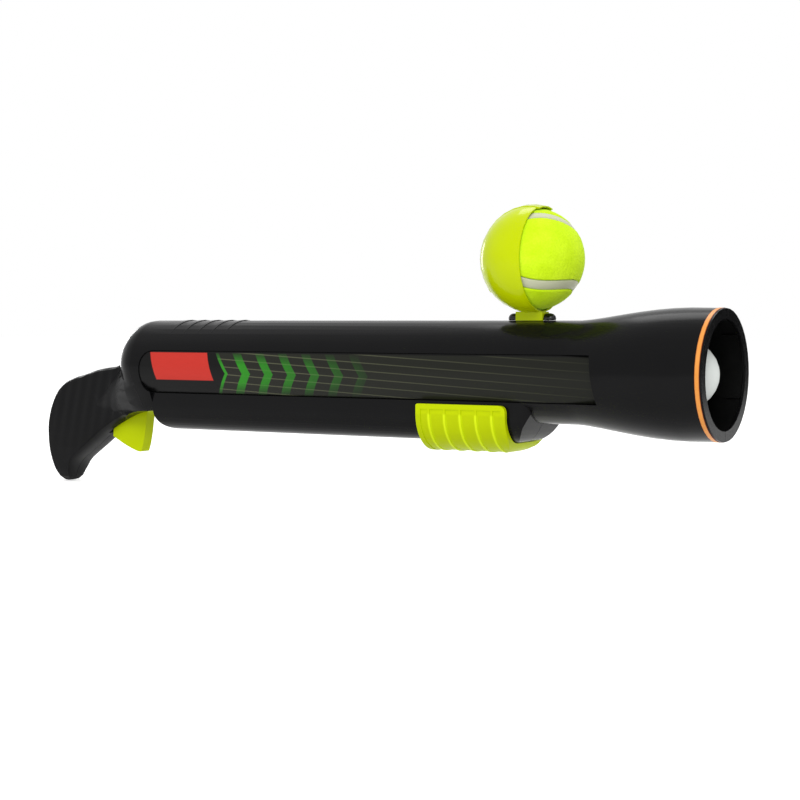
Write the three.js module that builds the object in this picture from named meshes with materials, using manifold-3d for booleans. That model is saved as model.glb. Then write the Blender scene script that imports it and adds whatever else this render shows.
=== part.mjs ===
// Hand-held dog ball thrower with a spare ball held on top.
// Millimetres. +X runs along the barrel to the muzzle, +Z is up, and the photographed side faces -Y.
// While it is built, x = 0 is the plane of the ball holder and y = z = 0 is the barrel's axis.
// At the end the whole object is moved so that the centre of its bounding box is the origin.
import * as THREE from 'three';
import { mergeVertices } from 'three/addons/utils/BufferGeometryUtils.js';
import Module from 'manifold-3d';

const wasm = await Module();
wasm.setup();

// Shared clearances
const seatGap = 0.3;
const slideGap = 0.4;
const cutOverrun = 4;
const weldDistance = 0.001;

// Barrel: two moulded half shells that meet on the middle plane
const barrelRadius = 32.8;
const shellWall = 2.5;
const seamLipHeight = 1.2;
const seamLipReach = 2;
const holderToMuzzle = 128.5;
const holderToRear = 304;
const rearDomeLength = 25.5;
const flareLength = 73;
const muzzleStraight = 21.5;
const muzzleWall = 5.1;
const flareBulge = 0.4;
const muzzleLip = 1.7;
const flareStartShares = [0.22, 0.1];
const flareEndShares = [0.6, 1];

// Orange ring set into the muzzle
const accentWidth = 3;
const accentDepth = 1.8;
const accentProud = 0.25;
const accentInset = 1.3;

// Ball and its snap-in cup
const ballRadius = 32.5;
const cupStandoff = 4.5;
const cupClearance = 0.5;
const cupWall = 1.3;
const cupRimX = 6.5;
const cupSpineHalfWidth = 9;
const cupSpineProud = 0.6;
const cupLipLength = 2.2;
const cupSpineDrop = 21;
const footLength = 19;
const footCentreX = -1;
const footHalfWidth = 4.6;
const footTopInset = 0.2;
const knuckleRadius = 3.4;
const knuckleRise = 1.2;
const saddleThickness = 1;
const saddleHalfWidth = 2.8;
const saddleTongueLength = 12;
const saddleTongueHalfWidth = 2.4;
const holderPinRadius = 1.4;

// Rail housing under the barrel
const railSideInset = 5.3;
const railDepth = 12;
const railFloorHalf = 10.5;
const railRearInset = 15;
const railFrontX = 11;
const railNoseLength = 16;
const railNoseRise = 23;
const railNosePlanCorner = 12;
const railTailRound = 14;
const slotEndGap = 2;

// Grip
const gripLength = 102;
const gripDrop = 88.6;
const gripHalfWidth = 14.5;
const gripRoundAcross = 10;
const gripHollowHalfWidth = 9.5;
const gripTaperDrop = 50;
const gripRootLength = 66;
const gripRootInset = 1.3;
const gripRootCentreDrop = 10;
const gripSkirtLength = 15;
const gripSkirtDrop = 31.6;
const gripNeckRadius = 14.6;
const gripRootDrop = 20;
const gripRootRise = 16;
const gripRootX = 15;

// Ridges that stop the hand from slipping
const barrelRidgePitch = 11.9;
const barrelRidgeFirstX = 68.5;
const barrelRidgeLength = 7;
const barrelRidgeProud = 0.9;
const barrelRidgeSink = 1.2;
const gripRidgeLength = 5.4;
const gripRidgeProud = 0.8;

// Side panel recess and label
const panelTop = 11.7;
const panelBottom = 18.6;
const panelRear = 297.5;
const panelFrontSetback = 17.7;
const panelFrontLean = 4;
const panelDepth = 1.2;
const panelCorner = 13;
const labelThickness = 0.5;
const labelGap = 0.1;

// Loading handle and its carriage
const handleRearOverhang = 13.3;
const handleFrontOverhang = 19.5;
const handleTopMargin = 3.354;
const handleWall = 2.8;
const handleFloor = 6.8;
const handleCornerExtra = 8;
const handleFrontRound = 5;
const handleRearRound = 1.6;
const handleToeLength = 14;
const handleToeRise = 12;
const handleRidgePitch = 11.4;
const handleRidgeWidth = 1.6;
const handlePocketDepth = 0.5;
const handlePocketMargin = 3.4;
const handleTravel = 212;
const neckHalfWidth = 4;
const neckLength = 20;
const carriageHalfWidth = 9.8;
const carriagePlate = 3.9;
const carriageLength = 32;
const carriageFrontGap = 4.36;
const lugBlockLength = 11.9;
const lugBlockHalfWidth = 7;
const lugOverlap = 4.6;

// Plunger
const crossheadLap = 3.7;
const crossheadLength = 8;
const crossheadPlay = 0.7;
const tongueLength = 29.7;
const tongueHalfWidth = 5;
const tongueThickness = 6;
const toothLength = 2.5;
const toothDrop = 4.2;
const rodArmHalfHeight = 10;
const rodArmThickness = 3;
const rodSpigotRadius = 5;
const rodSpigotLength = 6;
const headPlay = 0.6;
const headLength = 7;
const noseShoulder = 0.8;
const noseTipInset = 5.2;

// Elastic drive bands
const bandRadius = 2.4;
const bandBeadRadius = 3.4;
const bandBeadLength = 4;
const bandPlay = 0.2;
const bandStopGap = 0.1;
const collarSetback = 25.7;
const collarLength = 10;
const collarWall = 7.6;
const collarStopLength = 2.4;
const bumperThickness = 3.9;
const bumperHeight = 6;
const bumperRibThickness = 2.5;

// Muzzle liner that grips the loaded ball
const linerLength = 54.5;
const linerWall = 1.1;
const linerLipLength = 3;
const linerLipRadius = 28;
const linerRibHeight = 1.1;
const linerRibSink = 0.5;
const linerRibWidth = 1.2;
const linerRibLength = 9;

// Trigger, sear and their pins
const triggerHalfThickness = 4.5;
const triggerPinX = 4;
const pinSpacing = 11;
const triggerReach = 38;
const triggerSwingGap = 3.4;
const triggerHang = 34;
const searPinX = 14;
const searPinDrop = 18;
const searHalfThickness = 4;
const searFrontReach = 22.4;
const searRearReach = 17.5;
const searNoseTopGap = 0.6;
const searNoseGap = 2;
const searArmThickness = 4;
const searArmRise = 0.9;
const leverGap = 0.6;
const pinRadius = 1.5;
const pinHalfLength = 11;
const pinBossRadius = 3.8;
const pinHubRadius = 4.5;
const springRadius = 2.4;
const springWireRadius = 0.35;
const springSeatX = 5;
const bayHalfWidth = 8;
const bayFront = 14;
const bayRear = 41.5;
const bayTopDrop = 4;

// Shell screws
const screwShankRadius = 1.4;
const screwHeadRadius = 2.8;
const screwHeadHeight = 1.8;
const screwBossWall = 0.5;
const screwSlotDepth = 0.9;
const screwSlotLength = 2;
const screwSlotWidth = 0.5;
const screwSink = 0.6;
const screwTipGap = 0.3;
const screwHoleTop = 0.6;
const railScrewRise = 7.3;
const railScrewSink = 4.461;
const gripScrewSeatY = 10.5;
const domeScrewInset = 12.8;

// Counts, angles and shares
const aroundCount = 40;
const roundCount = 12;
const wireSideCount = 8;
const ballAroundCount = 24;
const cupAroundCount = 30;
const cupDownCount = 15;
const gripCurveCount = 2;
const gripBevelCount = 4;
const wireCurveCount = 4;
const curveCount = 8;
const cornerCount = 6;
const fiveCount = 5;
const springTurns = 5;
const turnStepCount = 8;
const barrelRidgeTilt = THREE.MathUtils.degToRad(13);
const gripRidgeTilt = THREE.MathUtils.degToRad(13);
const bumperArc = [THREE.MathUtils.degToRad(20), THREE.MathUtils.degToRad(80)];
const linerRibStart = THREE.MathUtils.degToRad(46);
const halfTurn = Math.PI;
const fullTurn = Math.PI * 2;
const rightAngleDegrees = 90;
const gripRootTilt = THREE.MathUtils.degToRad(17);
const gripEdgeShares = [
  [0.216, -0.096], [0.275, -0.018], [0.343, 0.011], [0.431, 0.023], [0.529, 0.045], [0.625, 0.079],
  [0.728, 0.108], [0.812, 0.153], [0.882, 0.23], [0.937, 0.35], [0.967, 0.479], [0.972, 0.576],
  [0.964, 0.7], [0.941, 0.813], [0.908, 0.919], [0.867, 0.986], [0.816, 0.977], [0.788, 0.903],
  [0.745, 0.826], [0.661, 0.753], [0.569, 0.679], [0.422, 0.553], [0.333, 0.492], [0.235, 0.436],
  [0.137, 0.393], [0.02, 0.366],
];
const gripHollowShares = [
  [0.382, 0.079], [0.618, 0.142], [0.789, 0.203], [0.887, 0.327], [0.939, 0.53], [0.922, 0.734],
  [0.873, 0.858], [0.833, 0.83], [0.755, 0.725], [0.618, 0.62], [0.474, 0.515], [0.35, 0.436],
];
const gripRidgeShares = [
  [0.433, 0.029], [0.533, 0.053], [0.629, 0.086], [0.72, 0.111], [0.794, 0.147],
];
const gripRidgeDepthShare = 0.95;
const gripRoundShare = 0.0343;
const gripRootShares = [[0, 1], [0.2, 0.97], [0.4, 0.78], [0.6, 0.42], [0.8, 0.12], [1, 0]];
const seamLipEndShare = 0.2;
const ridgeFadeShare = 1.6;
const ridgeCrestShare = 0.25;
const triggerTopShares = [
  [-0.09, -0.07], [0.08, -0.11], [0.36, -0.045], [0.565, -0.13], [0.79, -0.13], [0.92, 0.12], [0.985, 0.7],
];
const triggerBladeShares = [
  [0.65, 0.89], [0.34, 1.01], [0.26, 0.94], [0.19, 0.62], [0.15, 0.32], [0.1, 0.14], [-0.08, 0.06],
];
const searPadShare = 0.13;
const searNoseShares = [0.845, 0.955];
const gripScrewShares = [[0.55, 0.2], [0.87, 0.4], [0.86, 0.8]];
const railScrewShares = [0.91, 1.69];
const neckScrewShares = [0.25, 0.75];
const domeScrewShares = [0.4, 0.42];
const screwReachShare = 0.62;

// Places worked out from the sizes above
const linerInnerRadius = ballRadius + linerRibHeight + slideGap / 2;
const linerOuterRadius = linerInnerRadius + linerWall;
const muzzleRadius = linerOuterRadius + seatGap + muzzleWall;
const flareRadius = muzzleRadius + flareBulge;
const muzzleX = holderToMuzzle;
const flareEndX = muzzleX - muzzleStraight;
const flareStartX = flareEndX - flareLength;
const rearX = -holderToRear;
const boreRadius = barrelRadius - shellWall;
const crossheadRadius = boreRadius - crossheadPlay;
const bandOffset = boreRadius - seatGap - bandBeadRadius - bandPlay;
const collarInnerRadius = boreRadius - seatGap - collarWall;
const bumperInnerRadius = boreRadius - seatGap - bumperHeight;
const headRadius = collarInnerRadius - headPlay;
const noseRadius = headRadius - noseShoulder;
const railHalfWidth = barrelRadius - railSideInset;
const railDrop = barrelRadius + railDepth;
const railCorner = railHalfWidth - railFloorHalf;
const screwBossRadius = screwHeadRadius + seatGap + screwBossWall;
const slotHalfWidth = neckHalfWidth + slideGap;
const triggerPinDrop = searPinDrop + pinSpacing;
const gripRootRadius = barrelRadius - gripRootInset;
const gripRoundInPlane = gripLength * gripRoundShare;
const linerFrontX = muzzleX - muzzleLip - seatGap;
const linerRearX = linerFrontX - linerLength;
const accentFrontX = muzzleX - accentInset;
const accentRearX = accentFrontX - accentWidth;
const cupInnerRadius = ballRadius + cupClearance;
const cupOuterRadius = cupInnerRadius + cupWall;
const ballCentreHeight = barrelRadius + cupStandoff + cupOuterRadius;
const footTopHeight = ballCentreHeight - cupInnerRadius - footTopInset;
const knuckleHeight = barrelRadius + knuckleRise;
const railRearX = rearX + railRearInset;
const gripFrontX = rearX + gripSkirtLength;
const seamLipFrontX = rearX * seamLipEndShare;
const carriageBottomZ = -(railDrop - shellWall) + slideGap;
const carriageTopZ = carriageBottomZ + carriagePlate;
const railScrewXs = railScrewShares.map((share) => railFrontX - railNoseLength * share);
const carriageFrontX = Math.min(...railScrewXs) - screwBossRadius - carriageFrontGap;
const carriageRearX = carriageFrontX - carriageLength;
const neckRearX = -carriageRearX - (carriageLength - neckLength) / 2;
const handleRearX = handleRearOverhang - carriageRearX;
const handleFrontX = -carriageFrontX - handleFrontOverhang;
const crossheadFrontX = -carriageRearX - crossheadLap;
const crossheadRearX = -crossheadFrontX - crossheadLength;
const tongueRearX = crossheadRearX - tongueLength;
const headFrontX = muzzleX - noseTipInset - noseRadius - seatGap;
const headRearX = headFrontX - headLength;
const collarRearX = linerRearX - seatGap - collarSetback;
const collarFrontX = collarRearX + collarLength;
const collarStopHeight = boreRadius - bandOffset - bandRadius - bandStopGap;
const panelFront = linerRearX - seatGap - panelFrontSetback;
const handleInnerHalf = railHalfWidth + slideGap;
const handleTopDrop = Math.sqrt(barrelRadius ** 2 - handleInnerHalf ** 2) + handleTopMargin;
const handleInnerDrop = railDrop + slideGap;
const handleOuterHalf = handleInnerHalf + handleWall;
const handleCorner = railCorner + handleCornerExtra;
const handleOuterDrop = handleInnerDrop + handleFloor;
const triggerX = rearX - triggerPinX;
const searX = rearX - searPinX;
const holderPinHeight = barrelRadius + seatGap + saddleThickness + holderPinRadius - slideGap / 2;

// Materials
function plastic(colour, roughness) {
  return new THREE.MeshStandardMaterial({ color: colour, roughness, metalness: 0 });
}

const steel = new THREE.MeshStandardMaterial({ color: 0xb9bcc0, roughness: 0.35, metalness: 1 });
const blackBody = plastic(0x1e1e1f, 0.38);
const blackInner = plastic(0x161616, 0.5);
const lime = plastic(0xbdd104, 0.4);
const orange = plastic(0xe08a2c, 0.45);
const white = plastic(0xdcdfdc, 0.5);
const label = plastic(0x3a3b33, 0.35);
const rubber = plastic(0x2a2a2a, 0.85);
const latex = plastic(0xc79a4b, 0.6);
const felt = plastic(0xd2f02c, 0.95);

// Basic solids
function solidOf(geometry) {
  const plain = geometry.clone();
  plain.deleteAttribute('normal');
  plain.deleteAttribute('uv');
  const merged = mergeVertices(plain, weldDistance);
  const points = Float32Array.from(merged.getAttribute('position').array);
  const source = merged.index.array;
  const corners = [];
  let volume = 0;
  for (let i = 0; i < source.length; i += 3) {
    const [a, b, c] = [source[i], source[i + 1], source[i + 2]];
    if (a === b || b === c || c === a) continue;
    corners.push(a, b, c);
    const [p, q, r] = [a, b, c].map((n) => new THREE.Vector3().fromArray(points, n * 3));
    volume += p.dot(q.cross(r));
  }
  if (volume < 0) corners.reverse();
  const mesh = new wasm.Mesh({ numProp: 3, vertProperties: points, triVerts: Uint32Array.from(corners) });
  return new wasm.Manifold(mesh);
}

function block(xFrom, xTo, yFrom, yTo, zFrom, zTo) {
  const box = new THREE.BoxGeometry(xTo - xFrom, yTo - yFrom, zTo - zFrom);
  box.translate((xFrom + xTo) / 2, (yFrom + yTo) / 2, (zFrom + zTo) / 2);
  return solidOf(box);
}

function barAlongX(radius, xFrom, xTo, y, z, sides = roundCount) {
  const bar = new THREE.CylinderGeometry(radius, radius, xTo - xFrom, sides);
  bar.rotateZ(halfTurn / 2);
  bar.translate((xFrom + xTo) / 2, y, z);
  return solidOf(bar);
}

function barAlongY(radius, x, yFrom, yTo, z, sides = roundCount) {
  const bar = new THREE.CylinderGeometry(radius, radius, yTo - yFrom, sides);
  bar.translate(x, (yFrom + yTo) / 2, z);
  return solidOf(bar);
}

function barAlongZ(radius, x, y, zFrom, zTo, sides = roundCount) {
  const bar = new THREE.CylinderGeometry(radius, radius, zTo - zFrom, sides);
  bar.rotateX(halfTurn / 2);
  bar.translate(x, y, (zFrom + zTo) / 2);
  return solidOf(bar);
}

// A turned solid about the barrel's axis from [x, radius] pairs
function turned(profile, sides = aroundCount) {
  const points = profile.map(([x, radius]) => new THREE.Vector2(radius, x));
  const lathe = new THREE.LatheGeometry(points, sides);
  lathe.rotateZ(-halfTurn / 2);
  return solidOf(lathe);
}

// An ellipsoid from its centre and half sizes
function egg(x, y, z, halfX, halfY, halfZ, around, down) {
  const ball = new THREE.SphereGeometry(1, around, down);
  ball.scale(halfX, halfY, halfZ);
  ball.translate(x, y, z);
  return solidOf(ball);
}

// Plates from outlines: drawn in x and z, in y and z, or in x and y
function sidePlate(outline, halfWidth) {
  const settings = { depth: halfWidth * 2, bevelEnabled: false, curveSegments: curveCount };
  const plate = new THREE.ExtrudeGeometry(outline, settings);
  plate.rotateX(halfTurn / 2);
  plate.translate(0, halfWidth, 0);
  return solidOf(plate);
}

function alongX(outline, xFrom, xTo) {
  const settings = { depth: xTo - xFrom, bevelEnabled: false, curveSegments: cornerCount };
  const bar = new THREE.ExtrudeGeometry(outline, settings);
  const turn = new THREE.Matrix4();
  turn.makeBasis(new THREE.Vector3(0, 1, 0), new THREE.Vector3(0, 0, 1), new THREE.Vector3(1, 0, 0));
  bar.applyMatrix4(turn);
  bar.translate(xFrom, 0, 0);
  return solidOf(bar);
}

function planPlate(outline, zFrom, zTo) {
  const settings = { depth: zTo - zFrom, bevelEnabled: false, curveSegments: curveCount };
  const plate = new THREE.ExtrudeGeometry(outline, settings);
  plate.translate(0, 0, zFrom);
  return solidOf(plate);
}

function polygon(points) {
  return new THREE.Shape(points.map(([a, b]) => new THREE.Vector2(a, b)));
}

function joined(solids) {
  return solids.reduce((sum, next) => sum.add(next));
}

function pieceMesh(name, solid, material) {
  const { vertProperties, triVerts } = solid.getMesh();
  const geometry = new THREE.BufferGeometry();
  geometry.setAttribute('position', new THREE.BufferAttribute(vertProperties, 3));
  geometry.setIndex(new THREE.BufferAttribute(triVerts, 1));
  geometry.computeVertexNormals();
  const mesh = new THREE.Mesh(geometry, material);
  mesh.name = name;
  return mesh;
}

// Outlines
// A trough section: straight sides, a flat floor and round corners
function troughOutline(halfWidth, drop, corner, topZ) {
  const outline = new THREE.Shape();
  outline.moveTo(-halfWidth, topZ);
  outline.lineTo(-halfWidth, -drop + corner);
  outline.absarc(-halfWidth + corner, -drop + corner, corner, halfTurn, halfTurn * 1.5, false);
  outline.lineTo(halfWidth - corner, -drop);
  outline.absarc(halfWidth - corner, -drop + corner, corner, halfTurn * 1.5, fullTurn, false);
  outline.lineTo(halfWidth, topZ);
  return outline;
}

function ringSector(innerRadius, outerRadius, from, to) {
  const outline = new THREE.Shape();
  outline.absarc(0, 0, outerRadius, from, to, false);
  outline.absarc(0, 0, innerRadius, to, from, true);
  return outline;
}

// A point behind the barrel's rear end from its shares of the grip's length and drop
function gripPoint([lengthShare, dropShare]) {
  return new THREE.Vector2(rearX - gripLength * lengthShare, -gripDrop * dropShare);
}

function gripOutline() {
  const outline = new THREE.Shape();
  const [start, ...edge] = gripEdgeShares.map(gripPoint);
  outline.moveTo(gripFrontX, -gripRootDrop);
  outline.lineTo(gripFrontX, gripRootRise);
  outline.lineTo(start.x, start.y);
  outline.splineThru(edge);
  outline.lineTo(gripFrontX, -gripSkirtDrop);
  return outline;
}

// The rounded rear end as [x, radius] pairs, from its tip to the start of the straight barrel
function rearProfile(inset) {
  const points = [];
  for (let i = 0; i <= curveCount; i += 1) {
    const angle = halfTurn / 2 * i / curveCount;
    const radius = i === 0 ? 0 : (barrelRadius - inset) * Math.sin(angle);
    points.push([rearX - (rearDomeLength - inset) * Math.cos(angle), radius]);
  }
  return points;
}

// Outer form of the body
function barrelForm() {
  const flare = new THREE.CubicBezierCurve(
    new THREE.Vector2(flareStartX, barrelRadius),
    new THREE.Vector2(flareStartX + flareLength * flareStartShares[0],
      barrelRadius + (flareRadius - barrelRadius) * flareStartShares[1]),
    new THREE.Vector2(flareStartX + flareLength * flareEndShares[0],
      barrelRadius + (flareRadius - barrelRadius) * flareEndShares[1]),
    new THREE.Vector2(flareEndX, flareRadius));
  const flarePoints = flare.getPoints(curveCount).map((point) => [point.x, point.y]);
  return turned([...rearProfile(0), ...flarePoints, [muzzleX, muzzleRadius], [muzzleX, 0]]);
}

// The rail housing is a trough whose nose is rounded in side view and in plan
function railForm(inset) {
  const half = railHalfWidth - inset;
  const drop = railDrop - inset;
  const front = railFrontX - inset;
  const rear = railRearX + inset;
  const tail = railTailRound - inset;
  const side = new THREE.Shape();
  side.moveTo(rear, 0);
  side.lineTo(rear, -drop + tail);
  side.quadraticCurveTo(rear, -drop, rear + tail, -drop);
  side.lineTo(front - railNoseLength, -drop);
  side.quadraticCurveTo(front - railNoseLength / 2, -drop, front, -drop + railNoseRise);
  side.lineTo(front, 0);
  const plan = new THREE.Shape();
  plan.moveTo(rear, -half);
  plan.lineTo(front - railNosePlanCorner, -half);
  plan.quadraticCurveTo(front, -half, front, -half + railNosePlanCorner);
  plan.lineTo(front, half - railNosePlanCorner);
  plan.quadraticCurveTo(front, half, front - railNosePlanCorner, half);
  plan.lineTo(rear, half);
  const trough = alongX(troughOutline(half, drop, railCorner - inset, 0), rear, front);
  const sideForm = sidePlate(side, half + cutOverrun);
  return trough.intersect(sideForm).intersect(planPlate(plan, -drop - cutOverrun, cutOverrun));
}

function gripForm() {
  const flatHalf = gripHalfWidth - gripRoundAcross;
  const grip = new THREE.ExtrudeGeometry(gripOutline(), {
    depth: flatHalf * 2,
    bevelEnabled: true,
    bevelThickness: gripRoundAcross,
    bevelSize: gripRoundInPlane,
    bevelOffset: -gripRoundInPlane,
    bevelSegments: gripBevelCount,
    curveSegments: gripCurveCount,
  });
  grip.rotateX(halfTurn / 2);
  grip.translate(0, flatHalf, 0);
  const root = gripRoot().intersect(sidePlate(gripOutline(), gripRootRadius + cutOverrun));
  return solidOf(grip).intersect(gripTaper()).add(root);
}

// Seen from behind, the grip narrows to a round toe
function gripTaper() {
  const outline = new THREE.Shape();
  outline.moveTo(-gripHalfWidth, barrelRadius);
  outline.lineTo(-gripHalfWidth, -gripTaperDrop);
  outline.quadraticCurveTo(-gripHalfWidth, -gripDrop, 0, -gripDrop);
  outline.quadraticCurveTo(gripHalfWidth, -gripDrop, gripHalfWidth, -gripTaperDrop);
  outline.lineTo(gripHalfWidth, barrelRadius);
  return alongX(outline, rearX - gripLength, gripFrontX + cutOverrun);
}

// The root flows from the full width of the barrel down to the width of the grip
function gripRoot() {
  const profile = gripRootShares.map(([along, wide]) => new THREE.Vector2(
    gripNeckRadius + (gripRootRadius - gripNeckRadius) * wide, -gripRootLength * along));
  profile.push(new THREE.Vector2(0, -gripRootLength));
  profile.unshift(new THREE.Vector2(0, 0));
  const root = new THREE.LatheGeometry(profile, ballAroundCount);
  root.rotateZ(-halfTurn / 2);
  root.rotateY(-gripRootTilt);
  root.translate(rearX + gripRootX, 0, -gripRootCentreDrop);
  return solidOf(root);
}

// One ridge is a flat ring set a little high, so that it fades into the sides
function ridge(halfWidth, halfHeight, length, proud, tilt, x, z, sides) {
  const half = length / 2;
  const low = halfHeight - proud * ridgeFadeShare;
  const points = [[-half, 0], [-half, low], [length * ridgeCrestShare, halfHeight], [half, low], [half, 0]];
  const profile = points.map(([along, radius]) => new THREE.Vector2(radius, along));
  const lathe = new THREE.LatheGeometry(profile, sides);
  lathe.rotateZ(-halfTurn / 2);
  lathe.scale(1, halfWidth / halfHeight, 1 / Math.cos(tilt));
  lathe.rotateY(tilt);
  lathe.translate(x, 0, z);
  return solidOf(lathe);
}

function barrelRidges() {
  const ridges = [];
  const radius = barrelRadius - barrelRidgeSink;
  for (let i = 0; i < fiveCount; i += 1) {
    const x = rearX + barrelRidgeFirstX - i * barrelRidgePitch;
    ridges.push(ridge(radius, radius, barrelRidgeLength, barrelRidgeProud, barrelRidgeTilt, x,
      barrelRidgeSink + barrelRidgeProud, aroundCount));
  }
  return joined(ridges);
}

function gripRidges() {
  const halfHeight = gripRoundAcross * gripRidgeDepthShare;
  const half = gripHalfWidth - gripRidgeProud / 2;
  return joined(gripRidgeShares.map((shares) => {
    const { x, y } = gripPoint(shares);
    const centreX = x + halfHeight * Math.sin(gripRidgeTilt);
    const centreZ = y + gripRidgeProud - halfHeight;
    return ridge(half, halfHeight, gripRidgeLength, gripRidgeProud, gripRidgeTilt, centreX, centreZ,
      ballAroundCount);
  }));
}

// Everything inside the shells that is open
function bodyHollow() {
  const stopRadius = boreRadius - collarStopHeight;
  const stopX = collarRearX - seatGap;
  const seat = linerOuterRadius + seatGap;
  const flareSeatX = collarFrontX + shellWall;
  const lipX = muzzleX - muzzleLip;
  const mouthX = muzzleX + cutOverrun;
  const bore = turned([...rearProfile(shellWall),
    [stopX - collarStopLength, boreRadius], [stopX - collarStopLength, stopRadius],
    [stopX, stopRadius], [stopX, boreRadius],
    [flareSeatX, boreRadius], [flareSeatX, boreRadius + shellWall],
    [linerRearX - seatGap, seat], [lipX, seat], [lipX, linerInnerRadius],
    [mouthX, linerInnerRadius], [mouthX, 0]]);
  const gripCavity = polygon(gripHollowShares.map((shares) => gripPoint(shares).toArray()));
  const grip = sidePlate(gripCavity, gripHollowHalfWidth);
  const bay = block(rearX - bayRear, rearX + bayFront, -bayHalfWidth, bayHalfWidth, -boreRadius, -bayTopDrop);
  return joined([bore, railForm(shellWall), grip, bay]);
}

// Slots through the shells: for the handle's neck, the trigger and the holder's tongue
function bodySlots() {
  const neckFrontX = neckLength - neckRearX;
  const neckSlot = block(-neckRearX - handleTravel - slotEndGap, neckFrontX + slotEndGap, -slotHalfWidth,
    slotHalfWidth, -railDrop - cutOverrun, -railDrop + cutOverrun);
  const slot = triggerHalfThickness + slideGap;
  const triggerSlot = block(triggerX - triggerReach - triggerSwingGap, rearX + slideGap, -slot, slot,
    -triggerPinDrop - triggerHang, -searPinDrop);
  const tongueHalf = saddleTongueLength / 2 + seatGap;
  const tongueSide = saddleTongueHalfWidth + seatGap;
  const tongue = block(footCentreX - tongueHalf, footCentreX + tongueHalf, -tongueSide, tongueSide,
    boreRadius - cutOverrun, barrelRadius + cutOverrun);
  return joined([neckSlot, triggerSlot, tongue]);
}

// Panel outline in side view, drawn in x and z
function panelOutline(inset) {
  const top = panelTop - inset;
  const bottom = -panelBottom + inset;
  const rear = -panelRear + inset;
  const corner = panelCorner - inset;
  const outline = new THREE.Shape();
  outline.moveTo(panelFront - inset, top);
  outline.lineTo(rear + corner, top);
  outline.quadraticCurveTo(rear, top, rear, (top + bottom) / 2);
  outline.quadraticCurveTo(rear, bottom, rear + corner, bottom);
  outline.lineTo(panelFront + panelFrontLean - inset, bottom);
  return outline;
}

function panelRecess() {
  const floor = barrelRadius - panelDepth;
  const wide = flareRadius + cutOverrun;
  const ring = turned([[-panelRear - cutOverrun, floor], [-panelRear - cutOverrun, wide],
    [panelFront + panelFrontLean + cutOverrun, wide], [panelFront + panelFrontLean + cutOverrun, floor],
    [-panelRear - cutOverrun, floor]]);
  return ring.intersect(sidePlate(panelOutline(0), wide));
}

function accentGroove() {
  const floor = muzzleRadius - accentDepth - seatGap;
  const wide = flareRadius + cutOverrun;
  const rear = accentRearX - seatGap;
  const front = accentFrontX + seatGap;
  return turned([[rear, floor], [rear, wide], [front, wide], [front, floor], [rear, floor]]);
}

// The places of the shell screws: x, z and how far out the head sits
function screwPlaces() {
  const railZ = railScrewRise - railDrop;
  const railSide = railFloorHalf + Math.sqrt(railCorner ** 2 - (railCorner - railScrewRise) ** 2);
  const railSeatY = railSide - railScrewSink;
  const rail = railScrewXs.map((x) => [x, railZ, railSeatY]);
  const tail = [railRearX + railTailRound, railZ, railSeatY];
  const domeX = rearX - rearDomeLength * domeScrewShares[0];
  const dome = [domeX, barrelRadius * domeScrewShares[1], barrelRadius - domeScrewInset];
  const grip = gripScrewShares.map((shares) => [...gripPoint(shares).toArray(), gripScrewSeatY]);
  return [...rail, tail, dome, ...grip];
}

function pinPlaces() {
  return [[triggerX, -triggerPinDrop], [searX, -searPinDrop]];
}

function bodyBosses(outer) {
  const screws = screwPlaces().map(([x, z]) => barAlongY(screwBossRadius, x, -barrelRadius, barrelRadius, z));
  const start = triggerHalfThickness + slideGap;
  const pins = pinPlaces().flatMap(([x, z]) => [
    barAlongY(pinBossRadius, x, start, barrelRadius, z),
    barAlongY(pinBossRadius, x, -barrelRadius, -start, z)]);
  const ribX = -crossheadFrontX + slideGap + bumperThickness + seatGap;
  const [low] = bumperArc;
  const ribOutline = ringSector(bumperInnerRadius + seatGap, boreRadius + shellWall / 2, low, halfTurn - low);
  const rib = alongX(ribOutline, ribX, ribX + bumperRibThickness);
  return joined([...screws, ...pins, rib]).intersect(outer);
}

function bodyDrillings() {
  const open = barrelRadius + cutOverrun;
  const holes = screwPlaces().flatMap(([x, z, seatY]) => [
    barAlongY(screwShankRadius + seatGap, x, -seatY * screwReachShare - seatGap, seatY, z),
    barAlongY(screwHeadRadius + seatGap, x, seatY - screwHeadHeight - seatGap, open, z)]);
  const pinReach = pinHalfLength + seatGap;
  const pins = pinPlaces().map(([x, z]) => barAlongY(pinRadius + seatGap / 2, x, -pinReach, pinReach, z));
  return joined([...holes, ...pins]);
}

function wholeBody() {
  const outer = joined([barrelForm(), railForm(0), gripForm(), barrelRidges(), gripRidges()]);
  const hollowed = outer.subtract(bodyHollow());
  const bossed = hollowed.add(bodyBosses(outer));
  return bossed.subtract(joined([bodySlots(), panelRecess(), accentGroove(), bodyDrillings()]));
}

const body = wholeBody();

// The right half has a lip inside the joint along the barrel's top, and the left half a rebate for it
function seamLip() {
  return block(rearX, seamLipFrontX, -seamLipReach, seamLipReach, boreRadius, boreRadius + seamLipHeight);
}

function seamRebate() {
  return block(rearX - seatGap, seamLipFrontX + seatGap, -seatGap, seamLipReach + seatGap,
    boreRadius - cutOverrun, boreRadius + seamLipHeight + seatGap);
}

function shell(side) {
  const wide = flareRadius + cutOverrun;
  const from = side < 0 ? -wide : seatGap / 2;
  const to = side < 0 ? -seatGap / 2 : wide;
  const rear = rearX - gripLength - cutOverrun;
  const half = body.intersect(block(rear, muzzleX + cutOverrun, from, to, -gripDrop - cutOverrun, wide));
  return side < 0 ? half.add(seamLip()) : half.subtract(seamRebate());
}

function accentRing() {
  const floor = muzzleRadius - accentDepth;
  const top = muzzleRadius + accentProud;
  return turned([[accentRearX, floor], [accentRearX, top], [accentFrontX, top], [accentFrontX, floor],
    [accentRearX, floor]]);
}

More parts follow.
